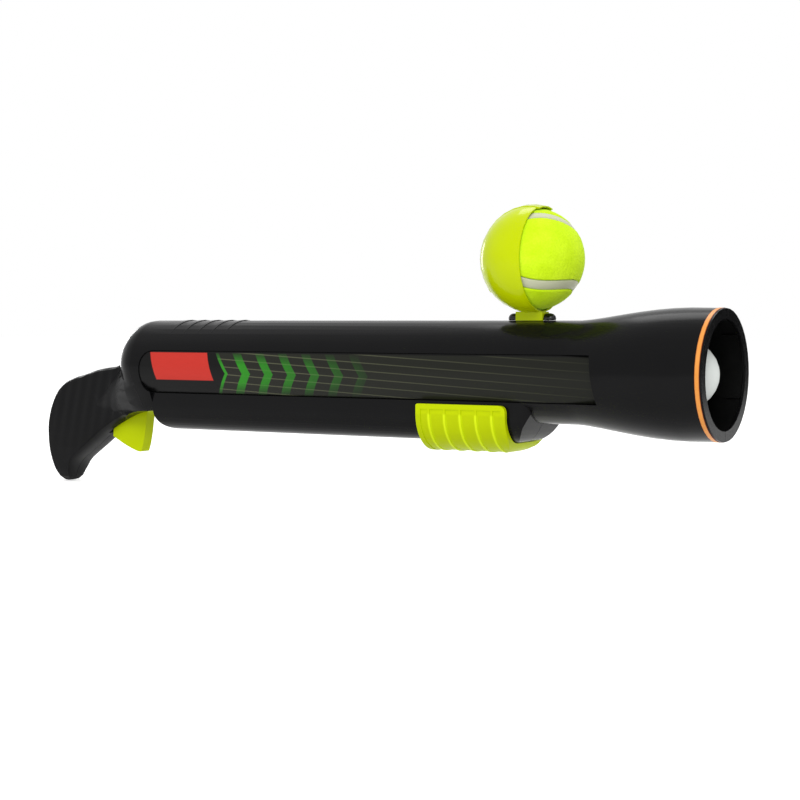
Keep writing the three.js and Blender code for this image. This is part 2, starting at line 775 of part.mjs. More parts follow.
function muzzleLiner() {
  const lipX = linerRearX + linerLipLength;
  const sleeve = turned([[linerRearX, linerLipRadius], [linerRearX, linerOuterRadius],
    [linerFrontX, linerOuterRadius], [linerFrontX, linerInnerRadius], [lipX, linerInnerRadius],
    [lipX, linerLipRadius], [linerRearX, linerLipRadius]]);
  const ribRadius = linerInnerRadius + (linerRibSink - linerRibHeight) / 2;
  const ribs = [];
  for (let i = 0; i < fiveCount; i += 1) {
    const rib = new THREE.BoxGeometry(linerRibLength, linerRibWidth, linerRibHeight + linerRibSink);
    rib.translate(linerFrontX - linerRibLength / 2, 0, ribRadius);
    rib.rotateX(linerRibStart - halfTurn / 2 + i * fullTurn / fiveCount);
    ribs.push(solidOf(rib));
  }
  return joined([sleeve, ...ribs]);
}

function sideLabel(side) {
  const inner = barrelRadius - panelDepth + labelGap;
  const outer = inner + labelThickness;
  const from = -panelRear - cutOverrun;
  const to = panelFront + panelFrontLean + cutOverrun;
  const ring = turned([[from, inner], [from, outer], [to, outer], [to, inner], [from, inner]]);
  const plate = ring.intersect(sidePlate(panelOutline(seatGap), barrelRadius));
  const wide = barrelRadius + cutOverrun;
  return plate.intersect(block(from, to, side < 0 ? -wide : 0, side < 0 ? 0 : wide, -wide, wide));
}

// Ball, cup and the saddle that carries them
function ball() {
  return egg(0, 0, ballCentreHeight, ballRadius, ballRadius, ballRadius, ballAroundCount, roundCount);
}

function cupSphere(radius) {
  return egg(0, 0, ballCentreHeight, radius, radius, radius, cupAroundCount, cupDownCount);
}

function ballCup() {
  const wide = cupOuterRadius + cutOverrun;
  const behindRim = block(-wide, cupRimX, -wide, wide, 0, ballCentreHeight + wide);
  const spine = block(-wide, cupRimX + cupLipLength, -cupSpineHalfWidth, cupSpineHalfWidth,
    ballCentreHeight - cupSpineDrop, ballCentreHeight + wide);
  const frontBelow = block(0, wide, -wide, wide, 0, ballCentreHeight);
  const shellForm = cupSphere(cupOuterRadius).intersect(behindRim);
  const spineForm = cupSphere(cupOuterRadius + cupSpineProud).intersect(spine).subtract(frontBelow);
  const footRear = footCentreX - footLength / 2;
  const foot = block(footRear, footRear + footLength, -footHalfWidth, footHalfWidth, boreRadius,
    footTopHeight);
  const solid = joined([shellForm, spineForm, foot]);
  const mouth = barAlongX(cupInnerRadius - cupClearance / 2, 0, wide, 0, ballCentreHeight, aroundCount);
  const plateRadius = barrelRadius + seatGap + saddleThickness + seatGap;
  const underPlate = barAlongX(plateRadius, -wide, wide, 0, 0, aroundCount).intersect(
    block(-wide, wide, -saddleHalfWidth - seatGap, saddleHalfWidth + seatGap, 0, plateRadius));
  const underBarrel = barAlongX(barrelRadius + seatGap, -wide, wide, 0, 0, aroundCount);
  const pinHole = barAlongX(holderPinRadius + seatGap, -wide, wide, 0, holderPinHeight);
  return solid.subtract(joined([cupSphere(cupInnerRadius), mouth, underPlate, underBarrel, pinHole]));
}

// A knuckle beside the foot: a bar with a round end, standing on the barrel
function knuckle(faceX, side) {
  const radius = knuckleRadius;
  const domeX = faceX + side * radius;
  const [from, to] = side < 0 ? [domeX, faceX] : [faceX, domeX];
  const bar = barAlongX(radius, from, to, 0, knuckleHeight);
  const dome = egg(domeX, 0, knuckleHeight, radius, radius, radius, roundCount, roundCount);
  const base = block(from, to, -saddleHalfWidth, saddleHalfWidth, boreRadius, knuckleHeight);
  return joined([bar, dome, base]);
}

function holderSaddle() {
  const footRear = footCentreX - footLength / 2 - seatGap;
  const footFront = footCentreX + footLength / 2 + seatGap;
  const plateRadius = barrelRadius + seatGap + saddleThickness;
  const rear = footRear - knuckleRadius;
  const front = footFront + knuckleRadius;
  const strip = block(rear, front, -saddleHalfWidth, saddleHalfWidth, boreRadius, plateRadius);
  const plate = barAlongX(plateRadius, rear, front, 0, 0, aroundCount);
  const shaped = joined([knuckle(footRear, -1), knuckle(footFront, 1), plate.intersect(strip)]).subtract(
    barAlongX(barrelRadius + seatGap, -gripLength, gripLength, 0, 0, aroundCount));
  const tongueRear = footCentreX - saddleTongueLength / 2;
  const tongue = block(tongueRear, tongueRear + saddleTongueLength, -saddleTongueHalfWidth,
    saddleTongueHalfWidth, boreRadius, barrelRadius + saddleThickness);
  const pinHole = barAlongX(holderPinRadius + seatGap, rear - seatGap, front + seatGap, 0, holderPinHeight);
  return shaped.add(tongue).subtract(pinHole);
}

function holderPin() {
  const half = footLength / 2 + seatGap + knuckleRadius;
  return barAlongX(holderPinRadius, footCentreX - half, footCentreX + half, 0, holderPinHeight);
}

// Loading handle, carriage and their screws
function handleSideOutline() {
  const top = -handleTopDrop;
  const bottom = -handleOuterDrop;
  const front = -handleFrontX;
  const rear = -handleRearX;
  const outline = new THREE.Shape();
  outline.moveTo(rear + handleRearRound, top);
  outline.quadraticCurveTo(rear, top, rear, top - handleRearRound);
  outline.lineTo(rear, bottom);
  outline.lineTo(front - handleToeLength, bottom);
  outline.quadraticCurveTo(front, bottom, front, bottom + handleToeRise);
  outline.lineTo(front, top - handleFrontRound);
  outline.quadraticCurveTo(front, top, front - handleFrontRound, top);
  return outline;
}

function handlePockets() {
  const reach = handleOuterHalf + cutOverrun;
  const ridgeSpan = handleRidgePitch * (fiveCount - 1);
  const firstRidge = -(handleRearX + handleFrontX) / 2 - ridgeSpan / 2;
  const pocketTop = -handleTopDrop - handlePocketMargin;
  const keptOutline = troughOutline(handleOuterHalf - handlePocketDepth, handleOuterDrop - handlePocketDepth,
    handleCorner - handlePocketDepth, 0);
  const pockets = [];
  for (let i = 0; i < fiveCount + 1; i += 1) {
    const from = firstRidge + (i - 1) * handleRidgePitch + handleRidgeWidth / 2;
    const to = from + handleRidgePitch - handleRidgeWidth;
    const start = Math.max(from, -handleRearX + handlePocketMargin);
    const end = Math.min(to, -handleFrontX - handlePocketMargin);
    pockets.push(block(start, end, -reach, reach, -handleOuterDrop - cutOverrun, pocketTop));
  }
  return joined(pockets).subtract(alongX(keptOutline, -handleRearX - cutOverrun, cutOverrun));
}

function neckScrewPlaces() {
  return neckScrewShares.map((share) => neckLength * share - neckRearX);
}

function loadingHandle() {
  const outerOutline = troughOutline(handleOuterHalf, handleOuterDrop, handleCorner, -handleTopDrop);
  const innerOutline = troughOutline(handleInnerHalf, handleInnerDrop, railCorner + slideGap, cutOverrun);
  const outer = alongX(outerOutline, -handleRearX, -handleFrontX);
  const inner = alongX(innerOutline, -handleRearX - cutOverrun, cutOverrun);
  const sideForm = sidePlate(handleSideOutline(), handleOuterHalf + cutOverrun);
  const saddle = outer.intersect(sideForm).subtract(inner);
  const neck = block(-neckRearX, -neckRearX + neckLength, -neckHalfWidth, neckHalfWidth,
    -handleInnerDrop - handleFloor / 2, carriageBottomZ - seatGap);
  const holes = neckScrewPlaces().flatMap((x) => [
    barAlongZ(screwShankRadius + seatGap, x, 0, -handleOuterDrop - cutOverrun, 0),
    barAlongZ(screwHeadRadius + seatGap, x, 0, -handleOuterDrop - cutOverrun,
      -handleOuterDrop + screwSink + screwHeadHeight + seatGap)]);
  return saddle.subtract(handlePockets()).add(neck).subtract(joined(holes));
}

function handleCarriage() {
  const plate = block(carriageRearX, carriageFrontX, -carriageHalfWidth, carriageHalfWidth, carriageBottomZ,
    carriageTopZ);
  const lugRear = -crossheadFrontX + slideGap;
  const lug = block(lugRear, lugRear + lugBlockLength, -lugBlockHalfWidth, lugBlockHalfWidth, carriageBottomZ,
    lugOverlap - crossheadRadius);
  const holes = neckScrewPlaces().map((x) => barAlongZ(screwShankRadius + seatGap, x, 0,
    carriageBottomZ - cutOverrun, carriageTopZ - screwHoleTop));
  return plate.add(lug).subtract(joined(holes));
}

// A screw with its head at zero and its shank along -Z, then turned and placed
function screw(length) {
  const head = barAlongZ(screwHeadRadius, 0, 0, -screwHeadHeight, 0);
  const shank = barAlongZ(screwShankRadius, 0, 0, -length, -screwHeadHeight / 2, wireSideCount);
  const long = screwSlotLength;
  const wide = screwSlotWidth;
  const slotAlong = block(-long, long, -wide, wide, -screwSlotDepth, cutOverrun);
  const slotAcross = block(-wide, wide, -long, long, -screwSlotDepth, cutOverrun);
  return head.add(shank).subtract(slotAlong.add(slotAcross));
}

function handleScrew(x) {
  const bottom = -handleOuterDrop + screwSink;
  const length = carriageTopZ - screwHoleTop - screwTipGap - bottom;
  return screw(length).rotate([rightAngleDegrees * 2, 0, 0]).translate([x, 0, bottom]);
}

function shellScrew([x, z, seatY]) {
  return screw(seatY + seatY * screwReachShare).rotate([-rightAngleDegrees, 0, 0]).translate([x, seatY, z]);
}

// A slot for one drive band, open to the side so that the band can be laid in
function bandSlot(side, xFrom, xTo) {
  const y = side * bandOffset;
  const outside = side * barrelRadius;
  const [from, to] = side < 0 ? [outside, y] : [y, outside];
  const round = barAlongX(bandRadius + seatGap, xFrom, xTo, y, 0);
  return round.add(block(xFrom, xTo, from, to, -bandRadius / 2, bandRadius / 2));
}

// Plunger
function plungerTail() {
  const disc = barAlongX(crossheadRadius, crossheadRearX, -crossheadFrontX, 0, 0, aroundCount);
  const tongue = block(tongueRearX, crossheadRearX + seatGap, -tongueHalfWidth, tongueHalfWidth,
    -tongueThickness, 0);
  const tooth = block(tongueRearX, tongueRearX + toothLength, -tongueHalfWidth, tongueHalfWidth,
    -tongueThickness - toothDrop, -tongueThickness / 2);
  const bandSlots = [-1, 1].map((side) => bandSlot(side, crossheadRearX - cutOverrun, 0));
  const socket = barAlongX(rodSpigotRadius + seatGap, -crossheadFrontX - rodSpigotLength - seatGap, 0, 0, 0);
  return disc.add(tongue).add(tooth).subtract(joined([...bandSlots, socket]));
}

function plungerRod() {
  const from = -crossheadFrontX + seatGap;
  const to = headRearX - seatGap;
  const wide = rodArmHalfHeight;
  const thin = rodArmThickness / 2;
  const upright = block(from, to, -thin, thin, -wide, wide);
  const flat = block(from, to, -wide, wide, -thin, thin);
  const spigot = barAlongX(rodSpigotRadius, from - rodSpigotLength, to + rodSpigotLength / 2, 0, 0);
  const flanges = [from, to - rodArmThickness].map((x) => barAlongX(wide, x, x + rodArmThickness, 0, 0));
  return joined([upright, flat, spigot, ...flanges]);
}

function plungerHead() {
  const disc = barAlongX(headRadius, headRearX, headFrontX, 0, 0, aroundCount);
  const socketEnd = headRearX + rodSpigotLength / 2;
  return disc.subtract(barAlongX(rodSpigotRadius + seatGap, headRearX - cutOverrun, socketEnd, 0, 0));
}

function plungerNose() {
  const base = headFrontX + seatGap;
  const profile = [[base, 0]];
  for (let i = 0; i <= curveCount; i += 1) {
    const angle = halfTurn / 2 * i / curveCount;
    profile.push([base + noseRadius * Math.sin(angle), i === curveCount ? 0 : noseRadius * Math.cos(angle)]);
  }
  return turned(profile, aroundCount / 2);
}

// Drive bands, their collar and the bumpers
function driveBand(side) {
  const y = side * bandOffset;
  const rear = crossheadRearX - seatGap;
  const front = collarFrontX + seatGap;
  const inBead = bandBeadLength / 2;
  return joined([barAlongX(bandRadius, rear - inBead, front + inBead, y, 0, wireSideCount),
    barAlongX(bandBeadRadius, rear - bandBeadLength, rear, y, 0, wireSideCount),
    barAlongX(bandBeadRadius, front, front + bandBeadLength, y, 0, wireSideCount)]);
}

function bandCollar() {
  const outer = boreRadius - seatGap;
  const ring = turned([[collarRearX, collarInnerRadius], [collarRearX, outer], [collarFrontX, outer],
    [collarFrontX, collarInnerRadius], [collarRearX, collarInnerRadius]]);
  const slots = [-1, 1].map((side) => bandSlot(side, collarRearX - cutOverrun, collarFrontX + cutOverrun));
  return ring.subtract(joined(slots));
}

function bumper(side) {
  const from = -crossheadFrontX + slideGap;
  const [low, high] = side > 0 ? bumperArc : [halfTurn - bumperArc[1], halfTurn - bumperArc[0]];
  const outline = ringSector(bumperInnerRadius, boreRadius - seatGap, low, high);
  return alongX(outline, from, from + bumperThickness);
}

// Trigger and sear, drawn in side view from their pins
function triggerPoint([reachShare, hangShare]) {
  return new THREE.Vector2(triggerX - triggerReach * reachShare, -triggerPinDrop - triggerHang * hangShare);
}

function trigger() {
  const outline = new THREE.Shape(triggerTopShares.map(triggerPoint));
  outline.splineThru(triggerBladeShares.map(triggerPoint));
  const blade = sidePlate(outline, triggerHalfThickness);
  return blade.subtract(
    barAlongY(pinRadius + seatGap, triggerX, -barrelRadius, barrelRadius, -triggerPinDrop));
}

function sear() {
  const noseFrontX = searX + searFrontReach * searNoseShares[1];
  const noseRearX = searX + searFrontReach * searNoseShares[0];
  const noseTop = -tongueThickness - searNoseTopGap;
  const armTop = -tongueThickness - toothDrop - searNoseGap;
  const padBottom = -triggerPinDrop + triggerHang * searPadShare + leverGap;
  const armBottom = -searPinDrop + searArmRise;
  const front = searX + searFrontReach;
  const rear = searX - searRearReach;
  const hub = pinHubRadius;
  const thick = searArmThickness;
  const outline = polygon([[searX, -searPinDrop - hub], [front - thick, armBottom], [front, armBottom],
    [noseFrontX, noseTop], [noseRearX, noseTop], [noseRearX, armTop], [searX, -searPinDrop + hub],
    [rear, padBottom + thick], [rear, padBottom], [rear + thick, padBottom]]);
  return sidePlate(outline, searHalfThickness).subtract(
    barAlongY(pinRadius + seatGap, searX, -barrelRadius, barrelRadius, -searPinDrop));
}

function pivotPin(x, z) {
  return barAlongY(pinRadius, x, -pinHalfLength, pinHalfLength, z);
}

function searSpring() {
  const bottom = -boreRadius + seatGap + springWireRadius;
  const top = -searPinDrop + searArmRise - seatGap - springWireRadius;
  const x = rearX + springSeatX;
  const points = [];
  const steps = springTurns * turnStepCount;
  for (let i = 0; i <= steps; i += 1) {
    const angle = fullTurn * i / turnStepCount;
    const z = bottom + (top - bottom) * i / steps;
    points.push(new THREE.Vector3(x + springRadius * Math.cos(angle), springRadius * Math.sin(angle), z));
  }
  const wire = new THREE.Shape();
  wire.absarc(0, 0, springWireRadius, 0, fullTurn, false);
  const coil = new THREE.ExtrudeGeometry(wire, {
    steps,
    bevelEnabled: false,
    curveSegments: wireCurveCount,
    extrudePath: new THREE.CatmullRomCurve3(points),
  });
  return solidOf(coil);
}

// The object
const thrower = new THREE.Group();
const place = (name, solid, material) => thrower.add(pieceMesh(name, solid, material));

place('shell_right', shell(-1), blackBody);
place('shell_left', shell(1), blackBody);
place('accent_ring', accentRing(), orange);
place('muzzle_liner', muzzleLiner(), blackInner);
place('side_label_right', sideLabel(-1), label);
place('side_label_left', sideLabel(1), label);
place('ball', ball(), felt);
place('ball_cup', ballCup(), lime);
place('holder_saddle', holderSaddle(), blackInner);
place('holder_pin', holderPin(), steel);
place('loading_handle', loadingHandle(), lime);
place('handle_carriage', handleCarriage(), blackInner);
neckScrewPlaces().forEach((x, i) => place(`handle_screw_${i + 1}`, handleScrew(x), steel));
place('plunger_tail', plungerTail(), blackInner);
place('plunger_rod', plungerRod(), lime);
place('plunger_head', plungerHead(), lime);
place('plunger_nose', plungerNose(), white);
place('drive_band_right', driveBand(-1), latex);
place('drive_band_left', driveBand(1), latex);
place('band_collar', bandCollar(), blackInner);
place('bumper_right', bumper(-1), rubber);
place('bumper_left', bumper(1), rubber);
place('trigger', trigger(), lime);
place('trigger_pin', pivotPin(triggerX, -triggerPinDrop), steel);
place('sear', sear(), steel);
place('sear_pin', pivotPin(searX, -searPinDrop), steel);
place('sear_spring', searSpring(), steel);
screwPlaces().forEach((spot, i) => place(`shell_screw_${i + 1}`, shellScrew(spot), steel));

const extent = new THREE.Box3().setFromObject(thrower);
const centre = extent.getCenter(new THREE.Vector3());
thrower.position.copy(centre).negate();

export default thrower;
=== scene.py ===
import math

import bmesh
import bpy
from mathutils import Euler, Matrix, Vector, kdtree, noise


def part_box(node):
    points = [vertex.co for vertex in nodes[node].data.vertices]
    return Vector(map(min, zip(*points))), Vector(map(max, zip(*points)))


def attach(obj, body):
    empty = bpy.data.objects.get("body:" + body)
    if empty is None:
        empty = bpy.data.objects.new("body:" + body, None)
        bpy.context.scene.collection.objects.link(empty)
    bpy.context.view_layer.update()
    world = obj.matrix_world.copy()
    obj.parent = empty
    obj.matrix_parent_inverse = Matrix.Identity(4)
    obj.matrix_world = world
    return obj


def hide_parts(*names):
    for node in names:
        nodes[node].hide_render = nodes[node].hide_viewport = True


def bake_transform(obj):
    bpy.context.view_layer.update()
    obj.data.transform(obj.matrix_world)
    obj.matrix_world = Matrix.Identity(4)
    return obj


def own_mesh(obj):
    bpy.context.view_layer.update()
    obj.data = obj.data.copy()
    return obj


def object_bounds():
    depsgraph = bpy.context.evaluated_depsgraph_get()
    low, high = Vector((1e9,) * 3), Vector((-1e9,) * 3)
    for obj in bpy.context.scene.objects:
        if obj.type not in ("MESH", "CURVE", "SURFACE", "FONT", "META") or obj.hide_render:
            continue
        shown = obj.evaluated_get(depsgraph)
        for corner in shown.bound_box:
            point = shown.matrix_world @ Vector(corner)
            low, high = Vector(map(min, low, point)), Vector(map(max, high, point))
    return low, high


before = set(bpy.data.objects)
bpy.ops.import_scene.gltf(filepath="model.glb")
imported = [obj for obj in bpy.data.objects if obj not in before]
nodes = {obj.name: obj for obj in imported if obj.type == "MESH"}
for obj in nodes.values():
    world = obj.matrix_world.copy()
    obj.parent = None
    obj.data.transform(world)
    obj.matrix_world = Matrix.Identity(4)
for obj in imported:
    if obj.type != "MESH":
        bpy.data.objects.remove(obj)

cad_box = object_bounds()
MM = 0.001

# Camera: it stands in front of the muzzle's right side, level with the barrel, through a long lens.
# The object has no cord.
camera_place = Vector((0.62443, -0.96925, 0.02364))
camera_turn = 31.18
camera_drop = 2.684
camera_lens = 76.35
camera_sensor = 36

camera_data = bpy.data.cameras.new("photo_camera")
camera_data.lens = camera_lens
camera_data.sensor_width = camera_sensor
camera = bpy.data.objects.new("photo_camera", camera_data)
camera.location = camera_place
camera.rotation_euler = Euler((math.radians(90 - camera_drop), 0, math.radians(camera_turn)))
bpy.context.scene.collection.objects.link(camera)
bpy.context.scene.camera = camera
bpy.context.scene.view_settings.view_transform = "Standard"


# Studio: a white floor and sky with softboxes over, before and behind the object.
# The floor and sky show as white, and the floor keeps the object's shadow. A black card stands beside
# the muzzle, out of the picture, so that the black faces that point forward don't mirror the white sky.
floor_drop = 0.5 * MM
floor_half = 8.0
floor_white = "#f0f0f0"
floor_glow = 0.5
sky_light = 0.7
softboxes = [
    # name, place, width, height, power
    ("softbox_top", (0.0, 0.9, 1.5), 1.6, 0.7, 9.0),
    ("softbox_front", (0.7, -1.7, 1.5), 1.2, 1.2, 25.0),
    ("softbox_back", (0.95, 1.5, 0.15), 0.7, 0.7, 1.0),
    ("softbox_edge", (-1.5, 1.0, 0.12), 0.16, 0.7, 2.6),
]
card_place = Vector((0.82, 1.05, 0.3))
muzzle_point = Vector((cad_box[1][0], 0, 0))
card_width = 1.1
card_height = 0.8
card_black = "#050505"


def linear(hex_colour):
    """An sRGB colour such as #c0ffee as linear red, green, blue and alpha."""
    parts = [int(hex_colour[i : i + 2], 16) / 255 for i in (1, 3, 5)]
    return (*[c / 12.92 if c <= 0.04045 else ((c + 0.055) / 1.055) ** 2.4 for c in parts], 1.0)


def add_node(tree, kind, inputs=None, **settings):
    """Adds a node with its settings. Each input takes a value, or the output that feeds it.

    A Mix node takes its share at 0, numbers at 2 and 3, and colours at 6 and 7.
    """
    made = tree.nodes.new(kind)
    for name, value in settings.items():
        setattr(made, name, value)
    for name, value in (inputs or {}).items():
        if isinstance(value, bpy.types.NodeSocket):
            tree.links.new(value, made.inputs[name])
        else:
            made.inputs[name].default_value = value
    return made


def empty_material(name):
    """A new material, named for its stuff and finish, with no nodes yet."""
    material = bpy.data.materials.new(name)
    material.use_nodes = True
    material.node_tree.nodes.clear()
    return material, material.node_tree


def seen_by_the_lens(tree):
    """1 for rays from the camera, and for those that gloss or glass sends on."""
    path = add_node(tree, "ShaderNodeLightPath")
    pair = add_node(tree, "ShaderNodeMath", {0: path.outputs["Is Camera Ray"],
                    1: path.outputs["Is Glossy Ray"]}, operation="MAXIMUM")
    return add_node(tree, "ShaderNodeMath", {0: pair.outputs[0],
                    1: path.outputs["Is Transmission Ray"]}, operation="MAXIMUM").outputs[0]


def build_sky():
    """A white sky that lights the object a little less than it shows."""
    world = bpy.data.worlds.new("white_studio")
    world.use_nodes = True
    tree = world.node_tree
    tree.nodes.clear()
    lit = add_node(tree, "ShaderNodeBackground", {"Color": linear("#ffffff"), "Strength": sky_light})
    shown = add_node(tree, "ShaderNodeBackground", {"Color": linear("#ffffff"), "Strength": 1.0})
    mix = add_node(tree, "ShaderNodeMixShader", {0: seen_by_the_lens(tree), 1: lit.outputs[0],
                   2: shown.outputs[0]})
    add_node(tree, "ShaderNodeOutputWorld", {"Surface": mix.outputs[0]})
    bpy.context.scene.world = world


def matt_white_paint():
    """Matt white paint, topped up so that it shows as white wherever no shadow falls."""
    material, tree = empty_material("matt_white_paint")
    paint = add_node(tree, "ShaderNodeBsdfDiffuse", {"Color": linear(floor_white)})
    glow = add_node(tree, "ShaderNodeEmission", {"Color": linear("#ffffff"), "Strength": floor_glow})
    both = add_node(tree, "ShaderNodeAddShader", {0: paint.outputs[0], 1: glow.outputs[0]})
    mix = add_node(tree, "ShaderNodeMixShader", {0: seen_by_the_lens(tree), 1: paint.outputs[0],
                   2: both.outputs[0]})
    add_node(tree, "ShaderNodeOutputMaterial", {"Surface": mix.outputs[0]})
    return material


def black_flock():
    """Black flock paper, which gives back almost no light."""
    material, tree = empty_material("black_flock_paper")
    flock = add_node(tree, "ShaderNodeBsdfDiffuse", {"Color": linear(card_black)})
    add_node(tree, "ShaderNodeOutputMaterial", {"Surface": flock.outputs[0]})
    return material


def build_card():
    """The card faces the muzzle. Only glossy rays meet it, so it takes no light from the object."""
    half_x = card_width / 2
    half_y = card_height / 2
    mesh = bpy.data.meshes.new("studio_card")
    corners = [(-half_x, -half_y, 0), (half_x, -half_y, 0), (half_x, half_y, 0), (-half_x, half_y, 0)]
    mesh.from_pydata(corners, [], [(0, 1, 2, 3)])
    mesh.materials.append(black_flock())
    card = bpy.data.objects.new("studio_card", mesh)
    card.location = card_place
    card.rotation_euler = (muzzle_point - card_place).to_track_quat("-Z", "Y").to_euler()
    card.visible_camera = False
    card.visible_diffuse = False
    card.visible_shadow = False
    bpy.context.scene.collection.objects.link(card)


def build_studio():
    build_sky()
    build_card()
    mesh = bpy.data.meshes.new("studio_floor")
    z = cad_box[0][2] - floor_drop
    half = floor_half
    corners = [(-half, -half, z), (half, -half, z), (half, half, z), (-half, half, z)]
    mesh.from_pydata(corners, [], [(0, 1, 2, 3)])
    mesh.materials.append(matt_white_paint())
    floor = bpy.data.objects.new("studio_floor", mesh)
    bpy.context.scene.collection.objects.link(floor)
    for name, place, width, height, power in softboxes:
        lamp = bpy.data.lights.new(name, "AREA")
        lamp.shape = "RECTANGLE"
        lamp.size = width
        lamp.size_y = height
        lamp.energy = power
        box = bpy.data.objects.new(name, lamp)
        box.location = place
        box.rotation_euler = (-Vector(place)).to_track_quat("-Z", "Y").to_euler()
        bpy.context.scene.collection.objects.link(box)


build_studio()


# Body: two half shells, injection moulded in black ABS and screwed together from the far side.
# The barrel comes glossy from a polished mould, and the grip is spark-textured so that it doesn't slip.
shell_black = "#0b0b0c"
shell_grey = "#101011"
shell_cloud = 40 * MM
shell_cloud_detail = 3.0
shell_ior = 1.5
shell_specular = 0.085
shell_gloss = 0.17
mould_ripple = 9 * MM
mould_ripple_detail = 1.0
mould_ripple_depth = 0.02 * MM
rub_length = 26 * MM
rub_width = 1.1 * MM
rub_detail = 2.0
rub_from_share = 0.45
rub_to_share = 0.75
rub_dulling = 0.1
grip_gloss = 0.44
grip_texture_from = -198 * MM
grip_texture_to = -186 * MM
# A spark texture has pits of about 0.2 mm, drawn coarser here so that they show
grip_grain = 0.9 * MM
grip_grain_detail = 2.0
grip_grain_depth = 0.05 * MM
grip_wave_pitch = 9.4 * MM
grip_wave_crest = -205.3 * MM
grip_wave_lean = 0.23
grip_wave_depth = 0.13 * MM
grip_wave_high = -42 * MM
grip_wave_low = -82 * MM
crease_angle = 31
weld_gap = 0.001 * MM
edge_segments = 3


def polished_black_abs():
    """Black ABS: a deep gloss that ripples a little where it shrank, with faint rubs along the barrel.

    On the grip the gloss breaks up into a satin, and shallow waves run down its sides.
    """
    material, tree = empty_material("polished_black_abs")
    place = add_node(tree, "ShaderNodeTexCoord").outputs["Object"]
    axes = add_node(tree, "ShaderNodeSeparateXYZ", {0: place})
    grip = add_node(tree, "ShaderNodeMapRange", {"Value": axes.outputs["X"], "From Min": grip_texture_from,
                    "From Max": grip_texture_to, "To Min": 1.0, "To Max": 0.0}).outputs[0]
    cloud = add_node(tree, "ShaderNodeTexNoise", {"Vector": place, "Scale": 1 / shell_cloud,
                     "Detail": shell_cloud_detail})
    tint = add_node(tree, "ShaderNodeMix", {0: cloud.outputs["Fac"], 6: linear(shell_black),
                    7: linear(shell_grey)}, data_type="RGBA")

    drawn_out = add_node(tree, "ShaderNodeMapping", {"Vector": place,
                         "Scale": (1 / rub_length, 1 / rub_width, 1 / rub_width)})
    rubs = add_node(tree, "ShaderNodeTexNoise", {"Vector": drawn_out.outputs[0], "Scale": 1.0,
                    "Detail": rub_detail})
    rub_gloss = add_node(tree, "ShaderNodeMapRange", {"Value": rubs.outputs["Fac"],
                         "From Min": rub_from_share, "From Max": rub_to_share, "To Min": shell_gloss,
                         "To Max": shell_gloss + rub_dulling})
    gloss = add_node(tree, "ShaderNodeMix", {0: grip, 2: rub_gloss.outputs[0], 3: grip_gloss},
                     data_type="FLOAT")

    sparks = add_node(tree, "ShaderNodeTexNoise", {"Vector": place, "Scale": 1 / grip_grain,
                      "Detail": grip_grain_detail})
    spark_height = add_node(tree, "ShaderNodeMath", {0: sparks.outputs["Fac"], 1: grip},
                            operation="MULTIPLY")
    grain = add_node(tree, "ShaderNodeBump", {"Height": spark_height.outputs[0],
                     "Distance": grip_grain_depth})
    ripple = add_node(tree, "ShaderNodeTexNoise", {"Vector": place, "Scale": 1 / mould_ripple,
                      "Detail": mould_ripple_detail})
    rippled = add_node(tree, "ShaderNodeBump", {"Height": ripple.outputs["Fac"],
                       "Distance": mould_ripple_depth, "Normal": grain.outputs[0]})

    lean = add_node(tree, "ShaderNodeMath", {0: axes.outputs["Z"], 1: -grip_wave_lean,
                    2: axes.outputs["X"]}, operation="MULTIPLY_ADD")
    past_crest = add_node(tree, "ShaderNodeMath", {0: lean.outputs[0], 1: grip_wave_crest},
                          operation="SUBTRACT")
    turn = add_node(tree, "ShaderNodeMath", {0: past_crest.outputs[0],
                    1: 2 * math.pi / grip_wave_pitch}, operation="MULTIPLY")
    swell = add_node(tree, "ShaderNodeMath", {0: turn.outputs[0]}, operation="COSINE")
    fade = add_node(tree, "ShaderNodeMapRange", {"Value": axes.outputs["Z"], "From Min": grip_wave_low,
                    "From Max": grip_wave_high})
    held = add_node(tree, "ShaderNodeMath", {0: fade.outputs[0], 1: grip}, operation="MULTIPLY")
    swollen = add_node(tree, "ShaderNodeMath", {0: swell.outputs[0], 1: held.outputs[0]},
                       operation="MULTIPLY")
    wave = add_node(tree, "ShaderNodeBump", {"Height": swollen.outputs[0], "Distance": grip_wave_depth,
                    "Normal": rippled.outputs[0]})

    skin = add_node(tree, "ShaderNodeBsdfPrincipled", {"Base Color": tint.outputs[2],
                    "Roughness": gloss.outputs[0], "Normal": wave.outputs[0], "IOR": shell_ior,
                    "Specular IOR Level": shell_specular})
    add_node(tree, "ShaderNodeOutputMaterial", {"Surface": skin.outputs[0]})
    return material


def crease_group(degrees):
    """Welds the facets of a moulding and shades it smooth, apart from edges sharper than the angle."""
    group = bpy.data.node_groups.new(f"smooth_below_{degrees}_degrees", "GeometryNodeTree")
    group.interface.new_socket("Geometry", in_out="INPUT", socket_type="NodeSocketGeometry")
    group.interface.new_socket("Geometry", in_out="OUTPUT", socket_type="NodeSocketGeometry")
    start = add_node(group, "NodeGroupInput")
    bare = add_node(group, "GeometryNodeRemoveAttribute", {"Geometry": start.outputs[0],
                    "Name": "custom_normal"})
    weld = add_node(group, "GeometryNodeMergeByDistance", {"Geometry": bare.outputs[0],
                    "Distance": weld_gap})
    faces = add_node(group, "GeometryNodeSetShadeSmooth", {"Geometry": weld.outputs[0],
                     "Shade Smooth": True}, domain="FACE")
    bend = add_node(group, "GeometryNodeInputMeshEdgeAngle")
    sharp = add_node(group, "FunctionNodeCompare", {0: bend.outputs["Unsigned Angle"],
                     1: math.radians(degrees)}, operation="GREATER_THAN")
    edges = add_node(group, "GeometryNodeSetShadeSmooth", {"Geometry": faces.outputs[0],
                     "Selection": sharp.outputs[0], "Shade Smooth": False}, domain="EDGE")
    add_node(group, "NodeGroupOutput", {0: edges.outputs[0]})
    return group


